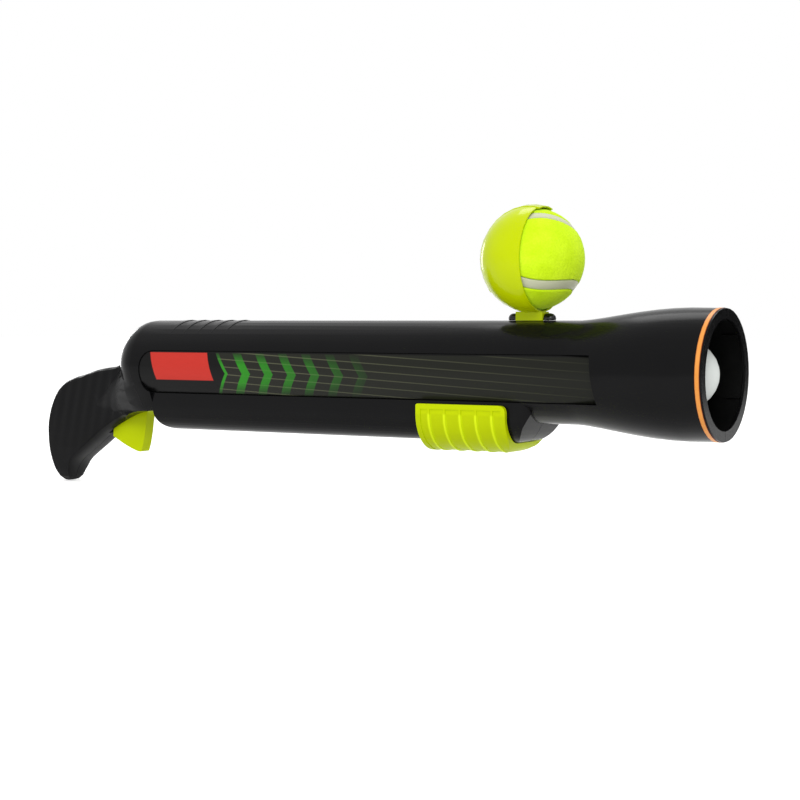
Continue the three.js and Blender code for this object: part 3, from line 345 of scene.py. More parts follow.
def dress(name, material, degrees=crease_angle, edge_radius=0.0):
    """Gives a CAD node its finish and smooth shading, and rounds its edges where a radius is given."""
    piece = nodes[name]
    piece.data.materials.clear()
    piece.data.materials.append(material)
    group_name = f"smooth_below_{degrees}_degrees"
    smooth = piece.modifiers.new("smooth_shading", "NODES")
    smooth.node_group = bpy.data.node_groups.get(group_name) or crease_group(degrees)
    if edge_radius:
        rounding = piece.modifiers.new("edge_radius", "BEVEL")
        rounding.width = edge_radius
        rounding.segments = edge_segments
        rounding.limit_method = "ANGLE"
        rounding.angle_limit = math.radians(degrees)
    even = piece.modifiers.new("even_shading", "WEIGHTED_NORMAL")
    even.keep_sharp = True


black_abs = polished_black_abs()
for half in ("shell_right", "shell_left"):
    dress(half, black_abs)


# Muzzle ring: a hoop of soft orange PVC, snapped into a groove just behind the muzzle's face.
# Its edges sit in the groove, and painted shade makes them darker and redder there.
ring_orange = "#e08c30"
ring_light = "#f0a04a"
ring_groove_shade = "#7c2c12"
ring_middle_x = 263.0 * MM
ring_half_width = 1.5 * MM
ring_shade_start_share = 0.66
pvc_cloud = 9 * MM
pvc_cloud_detail = 3.0
pvc_pit = 0.9 * MM
pvc_pit_detail = 2.0
pvc_pit_depth = 0.02 * MM
pvc_roughness = 0.35
pvc_ior = 1.53
pvc_specular = 0.3


def calendered_orange_pvc():
    """Soft PVC: a warm, slightly uneven orange with a dull gloss and tiny pits, and painted shade at both
    edges.
    """
    material, tree = empty_material("calendered_orange_pvc")
    place = add_node(tree, "ShaderNodeTexCoord").outputs["Object"]
    cloud = add_node(tree, "ShaderNodeTexNoise", {"Vector": place, "Scale": 1 / pvc_cloud,
                     "Detail": pvc_cloud_detail})
    tint = add_node(tree, "ShaderNodeMix", {0: cloud.outputs["Fac"], 6: linear(ring_orange),
                    7: linear(ring_light)}, data_type="RGBA")
    x = add_node(tree, "ShaderNodeSeparateXYZ", {0: place}).outputs["X"]
    off = add_node(tree, "ShaderNodeMath", {0: x, 1: ring_middle_x}, operation="SUBTRACT")
    away = add_node(tree, "ShaderNodeMath", {0: off.outputs[0]}, operation="ABSOLUTE")
    # Painted shade: dark red along both edges, where the ring sits in its groove.
    groove_shade_mask = add_node(tree, "ShaderNodeMapRange", {"Value": away.outputs[0],
                    "From Min": ring_half_width * ring_shade_start_share, "From Max": ring_half_width})
    worn = add_node(tree, "ShaderNodeMix", {0: groove_shade_mask.outputs[0], 6: tint.outputs[2], 7: linear(ring_groove_shade)},
                    data_type="RGBA")
    pits = add_node(tree, "ShaderNodeTexNoise", {"Vector": place, "Scale": 1 / pvc_pit,
                    "Detail": pvc_pit_detail})
    bump = add_node(tree, "ShaderNodeBump", {"Height": pits.outputs["Fac"], "Distance": pvc_pit_depth})
    skin = add_node(tree, "ShaderNodeBsdfPrincipled", {"Base Color": worn.outputs[2],
                    "Roughness": pvc_roughness, "Normal": bump.outputs[0], "IOR": pvc_ior,
                    "Specular IOR Level": pvc_specular})
    add_node(tree, "ShaderNodeOutputMaterial", {"Surface": skin.outputs[0]})
    return material


dress("accent_ring", calendered_orange_pvc())


# Black nylon mouldings: the muzzle liner, the cup's saddle, the handle's carriage, the plunger's tail
# and the collar that holds the bands. The nylon is dull and slightly greasy, with a fine even grain.
# The saddle comes from a polished mould.
nylon_black = "#060606"
nylon_grey = "#0a0a0a"
nylon_roughness = 0.42
nylon_grain = 1.2 * MM
nylon_grain_depth = 0.03 * MM
nylon_specular = 0.07
nylon_ior = 1.53
saddle_roughness = 0.15
saddle_grain = 2.0 * MM
saddle_grain_depth = 0.01 * MM
saddle_specular = 0.35
saddle_edge_radius = 0.3 * MM
moulding_cloud = 18 * MM
moulding_cloud_detail = 4.0
moulding_grain_detail = 2.0
moulding_low_share = 0.3
moulding_high_share = 0.7
moulding_gloss_spread = 0.05


def moulded(name, first_colour, second_colour, roughness, grain, grain_depth, specular, ior):
    """A moulding: nearly even colour, a fine grain from the mould, and a sheen that varies a little."""
    material, tree = empty_material(name)
    place = add_node(tree, "ShaderNodeTexCoord").outputs["Object"]
    cloud = add_node(tree, "ShaderNodeTexNoise", {"Vector": place, "Scale": 1 / moulding_cloud,
                     "Detail": moulding_cloud_detail})
    tint = add_node(tree, "ShaderNodeMix", {0: cloud.outputs["Fac"], 6: linear(first_colour),
                    7: linear(second_colour)}, data_type="RGBA")
    gloss = add_node(tree, "ShaderNodeMapRange", {"Value": cloud.outputs["Fac"],
                     "From Min": moulding_low_share, "From Max": moulding_high_share,
                     "To Min": roughness - moulding_gloss_spread,
                     "To Max": roughness + moulding_gloss_spread})
    fine = add_node(tree, "ShaderNodeTexNoise", {"Vector": place, "Scale": 1 / grain,
                    "Detail": moulding_grain_detail})
    bump = add_node(tree, "ShaderNodeBump", {"Height": fine.outputs["Fac"], "Distance": grain_depth})
    skin = add_node(tree, "ShaderNodeBsdfPrincipled", {"Base Color": tint.outputs[2],
                    "Roughness": gloss.outputs[0], "Normal": bump.outputs[0], "IOR": ior,
                    "Specular IOR Level": specular})
    add_node(tree, "ShaderNodeOutputMaterial", {"Surface": skin.outputs[0]})
    return material


# Nylon straight from the mould: near black, with a broad dull sheen
black_nylon = moulded("moulded_black_nylon", nylon_black, nylon_grey, nylon_roughness, nylon_grain,
                      nylon_grain_depth, nylon_specular, nylon_ior)
for piece_name in ("muzzle_liner", "handle_carriage", "plunger_tail", "band_collar"):
    dress(piece_name, black_nylon)

# Nylon from a polished mould: small bright lights on its round knuckles
saddle_nylon = moulded("polished_black_nylon", nylon_black, nylon_grey, saddle_roughness, saddle_grain,
                       saddle_grain_depth, saddle_specular, nylon_ior)
dress("holder_saddle", saddle_nylon, edge_radius=saddle_edge_radius)


# Side labels: a printed vinyl film laid into each side panel, dark olive with a satin surface.
# The print is a plain pattern of a red block, green arrowheads and thin pale lines. A painted shadow runs
# along the film's top and foot.
film_rear = "#262721"
film_front = "#191a15"
film_black_and_shadow = "#0c0c0c"
film_red = "#c4352c"
film_green = "#2f8a22"
film_line = "#8d9070"
film_rear_x = -160 * MM
film_front_x = 190 * MM
film_middle_z = -13.0 * MM
film_ior = 1.5
film_specular = 0.12
film_gloss = 0.26
film_gloss_spread = 0.1
film_fleck = 1.6 * MM
film_fleck_detail = 2.0
film_peel_depth = 0.012 * MM
arrow_slope = 0.62
arrow_first = -66.0 * MM
arrow_pitch = 19.0 * MM
arrow_width = 7.0 * MM
arrow_fade_end = 40.0 * MM
arrow_half_height = 15.0 * MM
arrow_full_share = 0.4
block_rear = -146.5 * MM
block_front = -96.0 * MM
block_slope = 0.3
block_foot = -5.0 * MM
shadow_top_z = 1.2 * MM
shadow_foot_z = -26.9 * MM
black_front = -84.0 * MM
line_pitch = 5.2 * MM
line_width = 0.42 * MM
line_slope = 0.055
line_fade_front = 210.0 * MM
line_fade_rear = -60.0 * MM
line_strength = 0.3
ink_spread = 0.25 * MM


def printed_satin_vinyl():
    """Print under a satin film: flat inks with slightly soft edges, a painted shadow along the top and foot,
    and a fine orange peel in the gloss.
    """
    material, tree = empty_material("printed_satin_vinyl")
    place = add_node(tree, "ShaderNodeTexCoord").outputs["Object"]
    axes = add_node(tree, "ShaderNodeSeparateXYZ", {0: place})
    x = axes.outputs["X"]
    z = axes.outputs["Z"]
    height = add_node(tree, "ShaderNodeMath", {0: z, 1: film_middle_z}, operation="SUBTRACT").outputs[0]
    spread = add_node(tree, "ShaderNodeMath", {0: height}, operation="ABSOLUTE").outputs[0]
    nose = add_node(tree, "ShaderNodeMath", {0: spread, 1: arrow_slope, 2: x},
                    operation="MULTIPLY_ADD").outputs[0]
    along = add_node(tree, "ShaderNodeMapRange", {"Value": x, "From Min": film_rear_x,
                     "From Max": film_front_x})
    ground = add_node(tree, "ShaderNodeMix", {0: along.outputs[0], 6: linear(film_rear),
                      7: linear(film_front)}, data_type="RGBA")

    # Thin pale lines, which grow fainter towards the front
    slant = add_node(tree, "ShaderNodeMath", {0: x, 1: line_slope, 2: height}, operation="MULTIPLY_ADD")
    off_line = add_node(tree, "ShaderNodeMath", {0: slant.outputs[0], 1: line_pitch / 2},
                        operation="PINGPONG")
    on_line = add_node(tree, "ShaderNodeMapRange", {"Value": off_line.outputs[0],
                       "From Min": line_width / 2, "From Max": line_width, "To Min": 1.0, "To Max": 0.0})
    line_fade = add_node(tree, "ShaderNodeMapRange", {"Value": x, "From Min": line_fade_front,
                         "From Max": line_fade_rear, "To Max": line_strength})
    line_share = add_node(tree, "ShaderNodeMath", {0: on_line.outputs[0], 1: line_fade.outputs[0]},
                          operation="MULTIPLY")
    lined = add_node(tree, "ShaderNodeMix", {0: line_share.outputs[0], 6: ground.outputs[2],
                     7: linear(film_line)}, data_type="RGBA")

    # Green arrowheads, which fade to the front and at their two ends
    past_first = add_node(tree, "ShaderNodeMath", {0: nose, 1: arrow_first}, operation="SUBTRACT")
    off_arrow = add_node(tree, "ShaderNodeMath", {0: past_first.outputs[0], 1: arrow_pitch / 2},
                         operation="PINGPONG")
    on_arrow = add_node(tree, "ShaderNodeMapRange", {"Value": off_arrow.outputs[0],
                        "From Min": arrow_width / 2 - ink_spread, "From Max": arrow_width / 2 + ink_spread,
                        "To Min": 1.0, "To Max": 0.0})
    arrow_fade = add_node(tree, "ShaderNodeMapRange", {"Value": nose, "From Min": arrow_fade_end,
                          "From Max": arrow_first - arrow_width})
    arrow_side = add_node(tree, "ShaderNodeMapRange", {"Value": spread, "From Min": arrow_half_height,
                          "From Max": arrow_half_height * arrow_full_share})
    faded = add_node(tree, "ShaderNodeMath", {0: on_arrow.outputs[0], 1: arrow_fade.outputs[0]},
                     operation="MULTIPLY")
    inked = add_node(tree, "ShaderNodeMath", {0: faded.outputs[0], 1: arrow_side.outputs[0]},
                     operation="MULTIPLY")
    arrowed = add_node(tree, "ShaderNodeMix", {0: inked.outputs[0], 6: lined.outputs[2],
                       7: linear(film_green)}, data_type="RGBA")

    # The black rear part with the leaning red block on it
    behind = add_node(tree, "ShaderNodeMapRange", {"Value": nose, "From Min": black_front + ink_spread,
                      "From Max": black_front - ink_spread})
    blacked = add_node(tree, "ShaderNodeMix", {0: behind.outputs[0], 6: arrowed.outputs[2],
                       7: linear(film_black_and_shadow)}, data_type="RGBA")
    leaning = add_node(tree, "ShaderNodeMath", {0: height, 1: block_slope, 2: x},
                       operation="MULTIPLY_ADD").outputs[0]
    rear_edge = add_node(tree, "ShaderNodeMapRange", {"Value": leaning,
                         "From Min": block_rear - ink_spread, "From Max": block_rear + ink_spread})
    front_edge = add_node(tree, "ShaderNodeMapRange", {"Value": leaning,
                          "From Min": block_front + ink_spread, "From Max": block_front - ink_spread})
    foot_edge = add_node(tree, "ShaderNodeMapRange", {"Value": height,
                         "From Min": block_foot - ink_spread, "From Max": block_foot + ink_spread})
    between = add_node(tree, "ShaderNodeMath", {0: rear_edge.outputs[0], 1: front_edge.outputs[0]},
                       operation="MULTIPLY")
    block = add_node(tree, "ShaderNodeMath", {0: between.outputs[0], 1: foot_edge.outputs[0]},
                     operation="MULTIPLY")
    blocked = add_node(tree, "ShaderNodeMix", {0: block.outputs[0], 6: blacked.outputs[2],
                       7: linear(film_red)}, data_type="RGBA")

    # Painted shadow: a black band along the film's top and foot, where it meets the panel's edges
    above = add_node(tree, "ShaderNodeMapRange", {"Value": z, "From Min": shadow_top_z - ink_spread,
                     "From Max": shadow_top_z + ink_spread})
    below = add_node(tree, "ShaderNodeMapRange", {"Value": z, "From Min": shadow_foot_z + ink_spread,
                     "From Max": shadow_foot_z - ink_spread})
    painted_shadow_band = add_node(tree, "ShaderNodeMath", {0: above.outputs[0], 1: below.outputs[0]},
                      operation="MAXIMUM")
    printed_and_shaded = add_node(tree, "ShaderNodeMix", {0: painted_shadow_band.outputs[0], 6: blocked.outputs[2],
                       7: linear(film_black_and_shadow)}, data_type="RGBA")

    fleck = add_node(tree, "ShaderNodeTexNoise", {"Vector": place, "Scale": 1 / film_fleck,
                     "Detail": film_fleck_detail})
    gloss = add_node(tree, "ShaderNodeMapRange", {"Value": fleck.outputs["Fac"], "To Min": film_gloss,
                     "To Max": film_gloss + film_gloss_spread})
    peel = add_node(tree, "ShaderNodeBump", {"Height": fleck.outputs["Fac"], "Distance": film_peel_depth})
    skin = add_node(tree, "ShaderNodeBsdfPrincipled", {"Base Color": printed_and_shaded.outputs[2],
                    "Roughness": gloss.outputs[0], "Normal": peel.outputs[0], "IOR": film_ior,
                    "Specular IOR Level": film_specular})
    add_node(tree, "ShaderNodeOutputMaterial", {"Surface": skin.outputs[0]})
    return material


vinyl = printed_satin_vinyl()
for piece_name in ("side_label_right", "side_label_left"):
    dress(piece_name, vinyl)


# Spare ball: a rubber core in two dumbbell panels of lime felt, cemented on.
# A seam of white rubber cement runs between the panels, a little below the nap.
felt_bright = "#dcff2c"
felt_deep = "#c8ee12"
felt_haze = "#e6ff8a"
felt_roughness = 0.95
felt_ior = 1.5
felt_specular = 0.1
felt_sheen = 0.25
felt_sheen_roughness = 0.4
# The nap's tufts are about half a millimetre wide, drawn coarser here so that they show
nap_tuft = 1.1 * MM
nap_detail = 4.0
nap_roughness = 0.7
nap_height = 0.35 * MM
nap_low_share = 0.12
nap_high_share = 0.42
felt_wear = 14 * MM
felt_wear_detail = 2.0
clump_width = 1.4 * MM
clump_height = 0.16 * MM
ball_radius = 32.5 * MM
ball_fineness = 7
seam_long = 0.78
seam_short = 0.22
seam_turns = (88.5, 276.3, 60.3)
seam_half_width = 3.3 * MM
seam_sunk = 0.45 * MM
groove_depth = 1.3 * MM
groove_edge = 0.9 * MM
groove_steps = 1600
seam_steps = 420
seam_section = [
    # share of the half width, height
    (-1.0, -0.9 * MM),
    (-1.0, -0.25 * MM),
    (-0.72, -0.05 * MM),
    (0.0, 0.0),
    (0.72, -0.05 * MM),
    (1.0, -0.25 * MM),
    (1.0, -0.9 * MM),
]
seam_white = "#cdd0b2"
seam_grey = "#babd9c"
seam_roughness = 0.5
seam_grain = 0.8 * MM
seam_grain_depth = 0.06 * MM
seam_specular = 0.3
seam_ior = 1.5

ball_low, ball_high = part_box("ball")
ball_centre = (Vector(ball_low) + Vector(ball_high)) / 2


def seam_directions(count):
    """Points along the seam of a tennis ball, as directions from its centre, turned as it lies in the cup."""
    toward = (camera_place - ball_centre).normalized()
    right = Vector((0, 0, 1)).cross(toward).normalized()
    up = toward.cross(right)
    sight = Matrix((right, up, toward)).transposed()
    first, second, third = (math.radians(turn) for turn in seam_turns)
    lie = Matrix.Rotation(first, 3, "Z") @ Matrix.Rotation(second, 3, "X") @ Matrix.Rotation(third, 3, "Z")
    along = []
    for i in range(count):
        t = 2 * math.pi * i / count
        point = Vector((seam_long * math.cos(t) + seam_short * math.cos(3 * t),
                        seam_long * math.sin(t) - seam_short * math.sin(3 * t),
                        2 * math.sqrt(seam_long * seam_short) * math.sin(2 * t)))
        along.append((sight @ lie @ point).normalized())
    return along


def napped_lime_felt():
    """Woven felt with a raised nap: flat lime, a soft hazy edge, and small tufts."""
    material, tree = empty_material("napped_lime_felt")
    place = add_node(tree, "ShaderNodeTexCoord").outputs["Object"]
    tufts = add_node(tree, "ShaderNodeTexNoise", {"Vector": place, "Scale": 1 / nap_tuft,
                     "Detail": nap_detail, "Roughness": nap_roughness})
    worn = add_node(tree, "ShaderNodeTexNoise", {"Vector": place, "Scale": 1 / felt_wear,
                    "Detail": felt_wear_detail})
    mixed = add_node(tree, "ShaderNodeMath", {0: tufts.outputs["Fac"], 1: worn.outputs["Fac"]},
                     operation="MULTIPLY")
    share = add_node(tree, "ShaderNodeMapRange", {"Value": mixed.outputs[0], "From Min": nap_low_share,
                     "From Max": nap_high_share})
    tint = add_node(tree, "ShaderNodeMix", {0: share.outputs[0], 6: linear(felt_deep),
                    7: linear(felt_bright)}, data_type="RGBA")
    bump = add_node(tree, "ShaderNodeBump", {"Height": tufts.outputs["Fac"], "Distance": nap_height})
    skin = add_node(tree, "ShaderNodeBsdfPrincipled", {"Base Color": tint.outputs[2],
                    "Roughness": felt_roughness, "Normal": bump.outputs[0], "IOR": felt_ior,
                    "Specular IOR Level": felt_specular, "Sheen Weight": felt_sheen,
                    "Sheen Roughness": felt_sheen_roughness, "Sheen Tint": linear(felt_haze)})
    add_node(tree, "ShaderNodeOutputMaterial", {"Surface": skin.outputs[0]})
    return material


def mesh_piece(name, mesh, material):
    """Makes a smooth object of a bmesh, with its normals outward."""
    bmesh.ops.recalc_face_normals(mesh, faces=mesh.faces)
    data = bpy.data.meshes.new(name)
    mesh.to_mesh(data)
    mesh.free()
    data.shade_smooth()
    data.materials.append(material)
    piece = bpy.data.objects.new(name, data)
    bpy.context.scene.collection.objects.link(piece)
    return piece


def felt_ball():
    """The felt: a sphere with low clumps of nap, sunk to a groove along the seam."""
    seam = seam_directions(groove_steps)
    finder = kdtree.KDTree(len(seam))
    for i, direction in enumerate(seam):
        finder.insert(direction, i)
    finder.balance()
    mesh = bmesh.new()
    bmesh.ops.create_icosphere(mesh, subdivisions=ball_fineness, radius=1.0)
    for vert in mesh.verts:
        direction = vert.co.normalized()
        away = finder.find(direction)[2] * ball_radius
        sunk = min(max((seam_half_width + groove_edge - away) / groove_edge, 0), 1)
        sunk = sunk * sunk * (3 - 2 * sunk)
        clump = noise.noise(direction * (ball_radius / clump_width)) * clump_height
        out = ball_radius - clump_height + clump * (1 - sunk) - groove_depth * sunk
        vert.co = ball_centre + direction * out
    return mesh_piece("felt_ball", mesh, napped_lime_felt())


def ball_seam():
    """The seam: a flat strip with a low crown that lies in the groove between the felt panels."""
    stations = seam_directions(seam_steps)
    mesh = bmesh.new()
    rings = []
    for i, direction in enumerate(stations):
        along = (stations[(i + 1) % len(stations)] - stations[i - 1]).normalized()
        across = along.cross(direction).normalized()
        ring = []
        for side, height in seam_section:
            out = (direction + across * (side * seam_half_width / ball_radius)).normalized()
            ring.append(mesh.verts.new(ball_centre + out * (ball_radius - seam_sunk + height)))
        rings.append(ring)
    for i, ring in enumerate(rings):
        after = rings[(i + 1) % len(rings)]
        for k in range(len(seam_section)):
            mesh.faces.new((ring[k - 1], ring[k], after[k], after[k - 1]))
    # Cured cement: off-white, matt and a little grainy
    cement = moulded("cured_white_rubber_cement", seam_white, seam_grey, seam_roughness, seam_grain,
                     seam_grain_depth, seam_specular, seam_ior)
    return mesh_piece("ball_seam", mesh, cement)


for ball_part in (felt_ball(), ball_seam()):
    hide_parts("ball")
    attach(ball_part, "ball")


# Ball cup: a thin snap-in shell of lime ABS from a polished mould, pinned to the saddle by its foot.
# Its rim is rounded where the ball is pushed in.
lime = "#c6d900"
lime_deep = "#bfd000"
lime_ior = 1.54
cup_roughness = 0.16
cup_ripple = 6.0 * MM
cup_ripple_depth = 0.03 * MM
cup_specular = 0.1
cup_edge_radius = 0.3 * MM
cup_crease_angle = 35

# ABS from a polished mould: an even lime with small clear lights
polished_lime = moulded("polished_lime_abs", lime, lime_deep, cup_roughness, cup_ripple, cup_ripple_depth,
                        cup_specular, lime_ior)
dress("ball_cup", polished_lime, degrees=cup_crease_angle, edge_radius=cup_edge_radius)


# Loading handle: a trough of lime ABS that wraps round the body's keel, with finger ridges on its sides.
# It is spark-textured to a satin, and its edges are well rounded. Painted highlights run along its ridges,
# and painted shade fills the hollows between them.
ridge_first = 77.6 * MM
ridge_pitch = 11.4 * MM
ridge_half_width = 1.3 * MM
ridge_crest_share = 0.4
ridge_foot_share = 1.6
ridge_top = -35.5 * MM
ridge_top_fade = 1.5 * MM
ridge_painted_highlight = "#dcf01a"
hollow_shade = "#b4c500"
hollow_strength = 0.5
handle_roughness = 0.38
crest_roughness = 0.26
handle_grain = 0.9 * MM
handle_grain_detail = 2.0
handle_grain_depth = 0.03 * MM
handle_specular = 0.06
handle_edge_radius = 0.9 * MM
handle_crease_angle = 44


def satin_lime_abs_with_ridges():
    """Spark-textured ABS: a satin lime, with a painted highlight along each ridge and painted shade in the
    hollows.
    """
    material, tree = empty_material("satin_lime_abs_with_ridges")
    place = add_node(tree, "ShaderNodeTexCoord").outputs["Object"]
    axes = add_node(tree, "ShaderNodeSeparateXYZ", {0: place})
    cloud = add_node(tree, "ShaderNodeTexNoise", {"Vector": place, "Scale": 1 / moulding_cloud,
                     "Detail": moulding_cloud_detail})
    tint = add_node(tree, "ShaderNodeMix", {0: cloud.outputs["Fac"], 6: linear(lime),
                    7: linear(lime_deep)}, data_type="RGBA")
    past_first = add_node(tree, "ShaderNodeMath", {0: axes.outputs["X"], 1: ridge_first},
                          operation="SUBTRACT")
    away = add_node(tree, "ShaderNodeMath", {0: past_first.outputs[0], 1: ridge_pitch / 2},
                    operation="PINGPONG")
    low = add_node(tree, "ShaderNodeMapRange", {"Value": axes.outputs["Z"], "From Min": ridge_top,
                   "From Max": ridge_top - ridge_top_fade})
    # Painted shade: a deeper lime in the hollows between the ridges.
    hollow = add_node(tree, "ShaderNodeMapRange", {"Value": away.outputs[0], "From Min": ridge_half_width,
                      "From Max": ridge_half_width * ridge_foot_share, "To Max": hollow_strength})
    hollowed = add_node(tree, "ShaderNodeMath", {0: hollow.outputs[0], 1: low.outputs[0]},
                        operation="MULTIPLY")
    shaded = add_node(tree, "ShaderNodeMix", {0: hollowed.outputs[0], 6: tint.outputs[2],
                      7: linear(hollow_shade)}, data_type="RGBA")
    # Painted highlight: a paler lime along each ridge's crest.
    crest = add_node(tree, "ShaderNodeMapRange", {"Value": away.outputs[0], "From Min": ridge_half_width,
                     "From Max": ridge_half_width * ridge_crest_share})
    crested = add_node(tree, "ShaderNodeMath", {0: crest.outputs[0], 1: low.outputs[0]},
                       operation="MULTIPLY")
    crest_highlighted = add_node(tree, "ShaderNodeMix", {0: crested.outputs[0], 6: shaded.outputs[2],
                        7: linear(ridge_painted_highlight)}, data_type="RGBA")
    gloss = add_node(tree, "ShaderNodeMapRange", {"Value": crested.outputs[0], "To Min": handle_roughness,
                     "To Max": crest_roughness})
    fine = add_node(tree, "ShaderNodeTexNoise", {"Vector": place, "Scale": 1 / handle_grain,
                    "Detail": handle_grain_detail})
    bump = add_node(tree, "ShaderNodeBump", {"Height": fine.outputs["Fac"],
                    "Distance": handle_grain_depth})
    skin = add_node(tree, "ShaderNodeBsdfPrincipled", {"Base Color": crest_highlighted.outputs[2],
                    "Roughness": gloss.outputs[0], "Normal": bump.outputs[0], "IOR": lime_ior,
                    "Specular IOR Level": handle_specular})
    add_node(tree, "ShaderNodeOutputMaterial", {"Surface": skin.outputs[0]})
    return material


dress("loading_handle", satin_lime_abs_with_ridges(), degrees=handle_crease_angle,
      edge_radius=handle_edge_radius)


# Trigger: a curved moulding of lime ABS, which turns on a pin above the grip's root.
# It is spark-textured like the handle, and its edges are rounded for the finger.
trigger_roughness = 0.36
trigger_edge_radius = 0.5 * MM
trigger_crease_angle = 35

# Spark-textured ABS: the same lime with a broad soft sheen
satin_lime = moulded("satin_lime_abs", lime, lime_deep, trigger_roughness, handle_grain,
                     handle_grain_depth, handle_specular, lime_ior)
dress("trigger", satin_lime, degrees=trigger_crease_angle, edge_radius=trigger_edge_radius)


# Plunger: a lime ABS rod and head. A dome of white foam rubber is glued to the head.
# The dome carries a faint lime smudge from the felt of the balls that it pushes.
nose_white = "#e6ebe7"
nose_grey = "#dce0dc"
nose_smudge = "#9fac6c"
nose_cloud = 11 * MM
nose_cloud_detail = 4.0
nose_roughness = 0.6
nose_ior = 1.45
nose_specular = 0.3
# Foam cells are a few tenths of a millimetre wide, drawn coarser here so that they show
foam_cell = 1.2 * MM
foam_cell_depth = 0.08 * MM
smudge_front_x = 253.0 * MM
smudge_full_x = 248.5 * MM
smudge_low_share = 0.42
smudge_high_share = 0.58


def moulded_white_foam():
    """Foam rubber: matt white with fine cells, and patchy lime where the felt has rubbed it."""
    material, tree = empty_material("moulded_white_foam_rubber")
    place = add_node(tree, "ShaderNodeTexCoord").outputs["Object"]
    cells = add_node(tree, "ShaderNodeTexVoronoi", {"Vector": place, "Scale": 1 / foam_cell})
    cloud = add_node(tree, "ShaderNodeTexNoise", {"Vector": place, "Scale": 1 / nose_cloud,
                     "Detail": nose_cloud_detail})
    tint = add_node(tree, "ShaderNodeMix", {0: cloud.outputs["Fac"], 6: linear(nose_grey),
                    7: linear(nose_white)}, data_type="RGBA")
    x = add_node(tree, "ShaderNodeSeparateXYZ", {0: place}).outputs["X"]
    low = add_node(tree, "ShaderNodeMapRange", {"Value": x, "From Min": smudge_front_x,
                   "From Max": smudge_full_x})
    patch = add_node(tree, "ShaderNodeMapRange", {"Value": cloud.outputs["Fac"],
                     "From Min": smudge_low_share, "From Max": smudge_high_share})
    rubbed = add_node(tree, "ShaderNodeMath", {0: low.outputs[0], 1: patch.outputs[0]},
                      operation="MULTIPLY")
    used = add_node(tree, "ShaderNodeMix", {0: rubbed.outputs[0], 6: tint.outputs[2],
                    7: linear(nose_smudge)}, data_type="RGBA")
    bump = add_node(tree, "ShaderNodeBump", {"Height": cells.outputs["Distance"],
                    "Distance": foam_cell_depth})
    skin = add_node(tree, "ShaderNodeBsdfPrincipled", {"Base Color": used.outputs[2],
                    "Roughness": nose_roughness, "Normal": bump.outputs[0], "IOR": nose_ior,
                    "Specular IOR Level": nose_specular})
    add_node(tree, "ShaderNodeOutputMaterial", {"Surface": skin.outputs[0]})
    return material


for piece_name in ("plunger_rod", "plunger_head"):
    dress(piece_name, satin_lime)
dress("plunger_nose", moulded_white_foam())


# Drive bands: two tubes of natural latex with a bead at each end, hooked in the collar and the
# plunger's tail. They stretch as the plunger goes back.
latex_light = "#c79a4b"
latex_dark = "#b5853a"
latex_roughness = 0.45
latex_ripple = 2.0 * MM
latex_ripple_depth = 0.05 * MM
latex_specular = 0.4
latex_ior = 1.52
band_sides = 16
band_rings = 60
band_radius = 2.4 * MM
bead_length = 4.0 * MM
bead_round = 0.8 * MM
bead_end_share = 0.6


def latex_band(side_name, material):
    """One band: a round bead at each end, and many rings between, so that it stretches evenly."""
    low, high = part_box(f"drive_band_{side_name}")
    bead_radius = (high[2] - low[2]) / 2
    middle_y = (low[1] + high[1]) / 2
    middle_z = (low[2] + high[2]) / 2
    rear = low[0] + bead_length
    front = high[0] - bead_length
    bead_end = bead_radius * bead_end_share
    stations = [(low[0], bead_end), (low[0] + bead_round, bead_radius), (rear - bead_round, bead_radius)]
    stations += [(rear + (front - rear) * i / band_rings, band_radius) for i in range(band_rings + 1)]
    stations += [(front + bead_round, bead_radius), (high[0] - bead_round, bead_radius),
                 (high[0], bead_end)]
    mesh = bmesh.new()
    turns = [2 * math.pi * k / band_sides for k in range(band_sides)]
    rings = [[mesh.verts.new((x, middle_y + r * math.cos(a), middle_z + r * math.sin(a))) for a in turns]
             for x, r in stations]
    for ring, after in zip(rings, rings[1:]):
        for k in range(band_sides):
            mesh.faces.new((ring[k], ring[k - 1], after[k - 1], after[k]))
    mesh.faces.new(rings[0])
    mesh.faces.new(rings[-1])
    band = mesh_piece(f"latex_band_{side_name}", mesh, material)
    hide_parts(f"drive_band_{side_name}")
    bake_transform(band)


# Dipped latex: amber, with a wet-looking sheen over low ripples
natural_latex = moulded("dipped_natural_latex", latex_light, latex_dark, latex_roughness, latex_ripple,
                        latex_ripple_depth, latex_specular, latex_ior)
latex_band("right", natural_latex)
latex_band("left", natural_latex)


# Bumpers: two pads of black rubber, glued to the collar, which stop the plunger's tail.
# They are moulded, and their edges are slightly rounded.
rubber_black = "#161616"
rubber_grey = "#1e1e1e"
rubber_roughness = 0.8
rubber_grain = 1.0 * MM
rubber_grain_depth = 0.05 * MM
rubber_specular = 0.3
rubber_ior = 1.52
bumper_edge_radius = 0.3 * MM

# Moulded rubber: a matt dark grey that takes hardly any light
black_rubber = moulded("moulded_black_rubber", rubber_black, rubber_grey, rubber_roughness, rubber_grain,
                       rubber_grain_depth, rubber_specular, rubber_ior)
for piece_name in ("bumper_right", "bumper_left"):
    dress(piece_name, black_rubber, edge_radius=bumper_edge_radius)


# Screws, pins and sear: turned or stamped from steel and zinc plated.
# The screws close the two shells from the far side and hold the handle to its carriage.
zinc_light = "#c3c6ca"
zinc_dull = "#a4a8ad"
zinc_least_roughness = 0.24
zinc_most_roughness = 0.42
# The plating's crystals are finer than this, and are drawn coarser so that they show
zinc_spangle = 1.1 * MM
zinc_spangle_detail = 3.0
zinc_spangle_depth = 0.01 * MM
shell_screw_count = 7


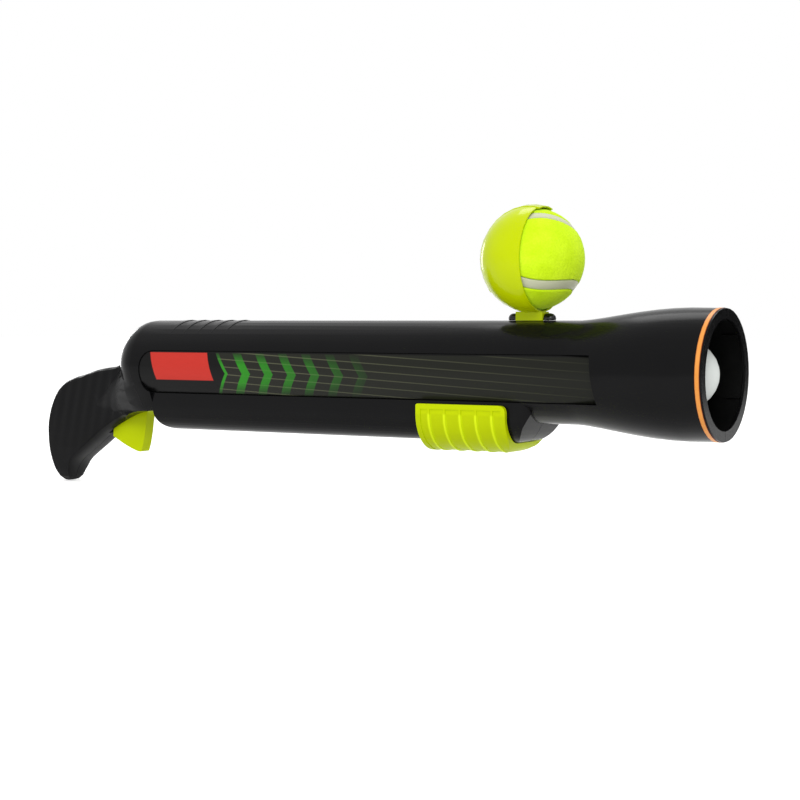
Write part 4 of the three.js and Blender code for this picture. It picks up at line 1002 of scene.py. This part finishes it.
def zinc_plated_steel():
    """Zinc plate: a soft bright metal, mottled where its crystals turn the light."""
    material, tree = empty_material("zinc_plated_steel")
    place = add_node(tree, "ShaderNodeTexCoord").outputs["Object"]
    spangle = add_node(tree, "ShaderNodeTexNoise", {"Vector": place, "Scale": 1 / zinc_spangle,
                       "Detail": zinc_spangle_detail})
    tint = add_node(tree, "ShaderNodeMix", {0: spangle.outputs["Fac"], 6: linear(zinc_light),
                    7: linear(zinc_dull)}, data_type="RGBA")
    gloss = add_node(tree, "ShaderNodeMapRange", {"Value": spangle.outputs["Fac"],
                     "To Min": zinc_least_roughness, "To Max": zinc_most_roughness})
    bump = add_node(tree, "ShaderNodeBump", {"Height": spangle.outputs["Fac"],
                    "Distance": zinc_spangle_depth})
    skin = add_node(tree, "ShaderNodeBsdfPrincipled", {"Base Color": tint.outputs[2], "Metallic": 1.0,
                    "Roughness": gloss.outputs[0], "Normal": bump.outputs[0]})
    add_node(tree, "ShaderNodeOutputMaterial", {"Surface": skin.outputs[0]})
    return material


steel = zinc_plated_steel()
shell_screws = [f"shell_screw_{i + 1}" for i in range(shell_screw_count)]
for piece_name in (*shell_screws, "handle_screw_1", "handle_screw_2", "holder_pin", "trigger_pin", "sear_pin",
                   "sear"):
    dress(piece_name, steel)


# Sear spring: a coil of zinc-plated spring wire under the sear's front arm.
# It returns the sear and the trigger together.
spring_turns = 6
spring_wire = 0.35 * MM
spring_wire_sides = 8
spring_steps = 24
spring_flat_turns = 0.75


def coil_spring():
    """The wire swept along a helix that fills the spring's box."""
    low, high = (Vector(corner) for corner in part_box("sear_spring"))
    middle = (low + high) / 2
    radius = (high.x - low.x) / 2 - spring_wire
    bottom = low.z + spring_wire
    top = high.z - spring_wire
    count = spring_turns * spring_steps
    mesh = bmesh.new()
    rings = []
    for i in range(count + 1):
        share = i / count
        a = 2 * math.pi * share * spring_turns
        # The end turns lie flat, as ground spring ends do
        rise = (share * spring_turns - spring_flat_turns) / (spring_turns - 2 * spring_flat_turns)
        rise = min(max(rise, 0), 1)
        point = Vector((middle.x + radius * math.cos(a), middle.y + radius * math.sin(a),
                        bottom + (top - bottom) * rise))
        out = Vector((math.cos(a), math.sin(a), 0))
        ring = []
        for k in range(spring_wire_sides):
            b = 2 * math.pi * k / spring_wire_sides
            off = out * math.cos(b) + Vector((0, 0, math.sin(b)))
            ring.append(mesh.verts.new(point + spring_wire * off))
        rings.append(ring)
    for ring, after in zip(rings, rings[1:]):
        for k in range(spring_wire_sides):
            mesh.faces.new((ring[k], ring[k - 1], after[k - 1], after[k]))
    mesh.faces.new(rings[0])
    mesh.faces.new(rings[-1])
    spring = mesh_piece("sear_coil_spring", mesh, steel)
    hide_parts("sear_spring")
    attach(spring, "body")
    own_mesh(spring)


coil_spring()
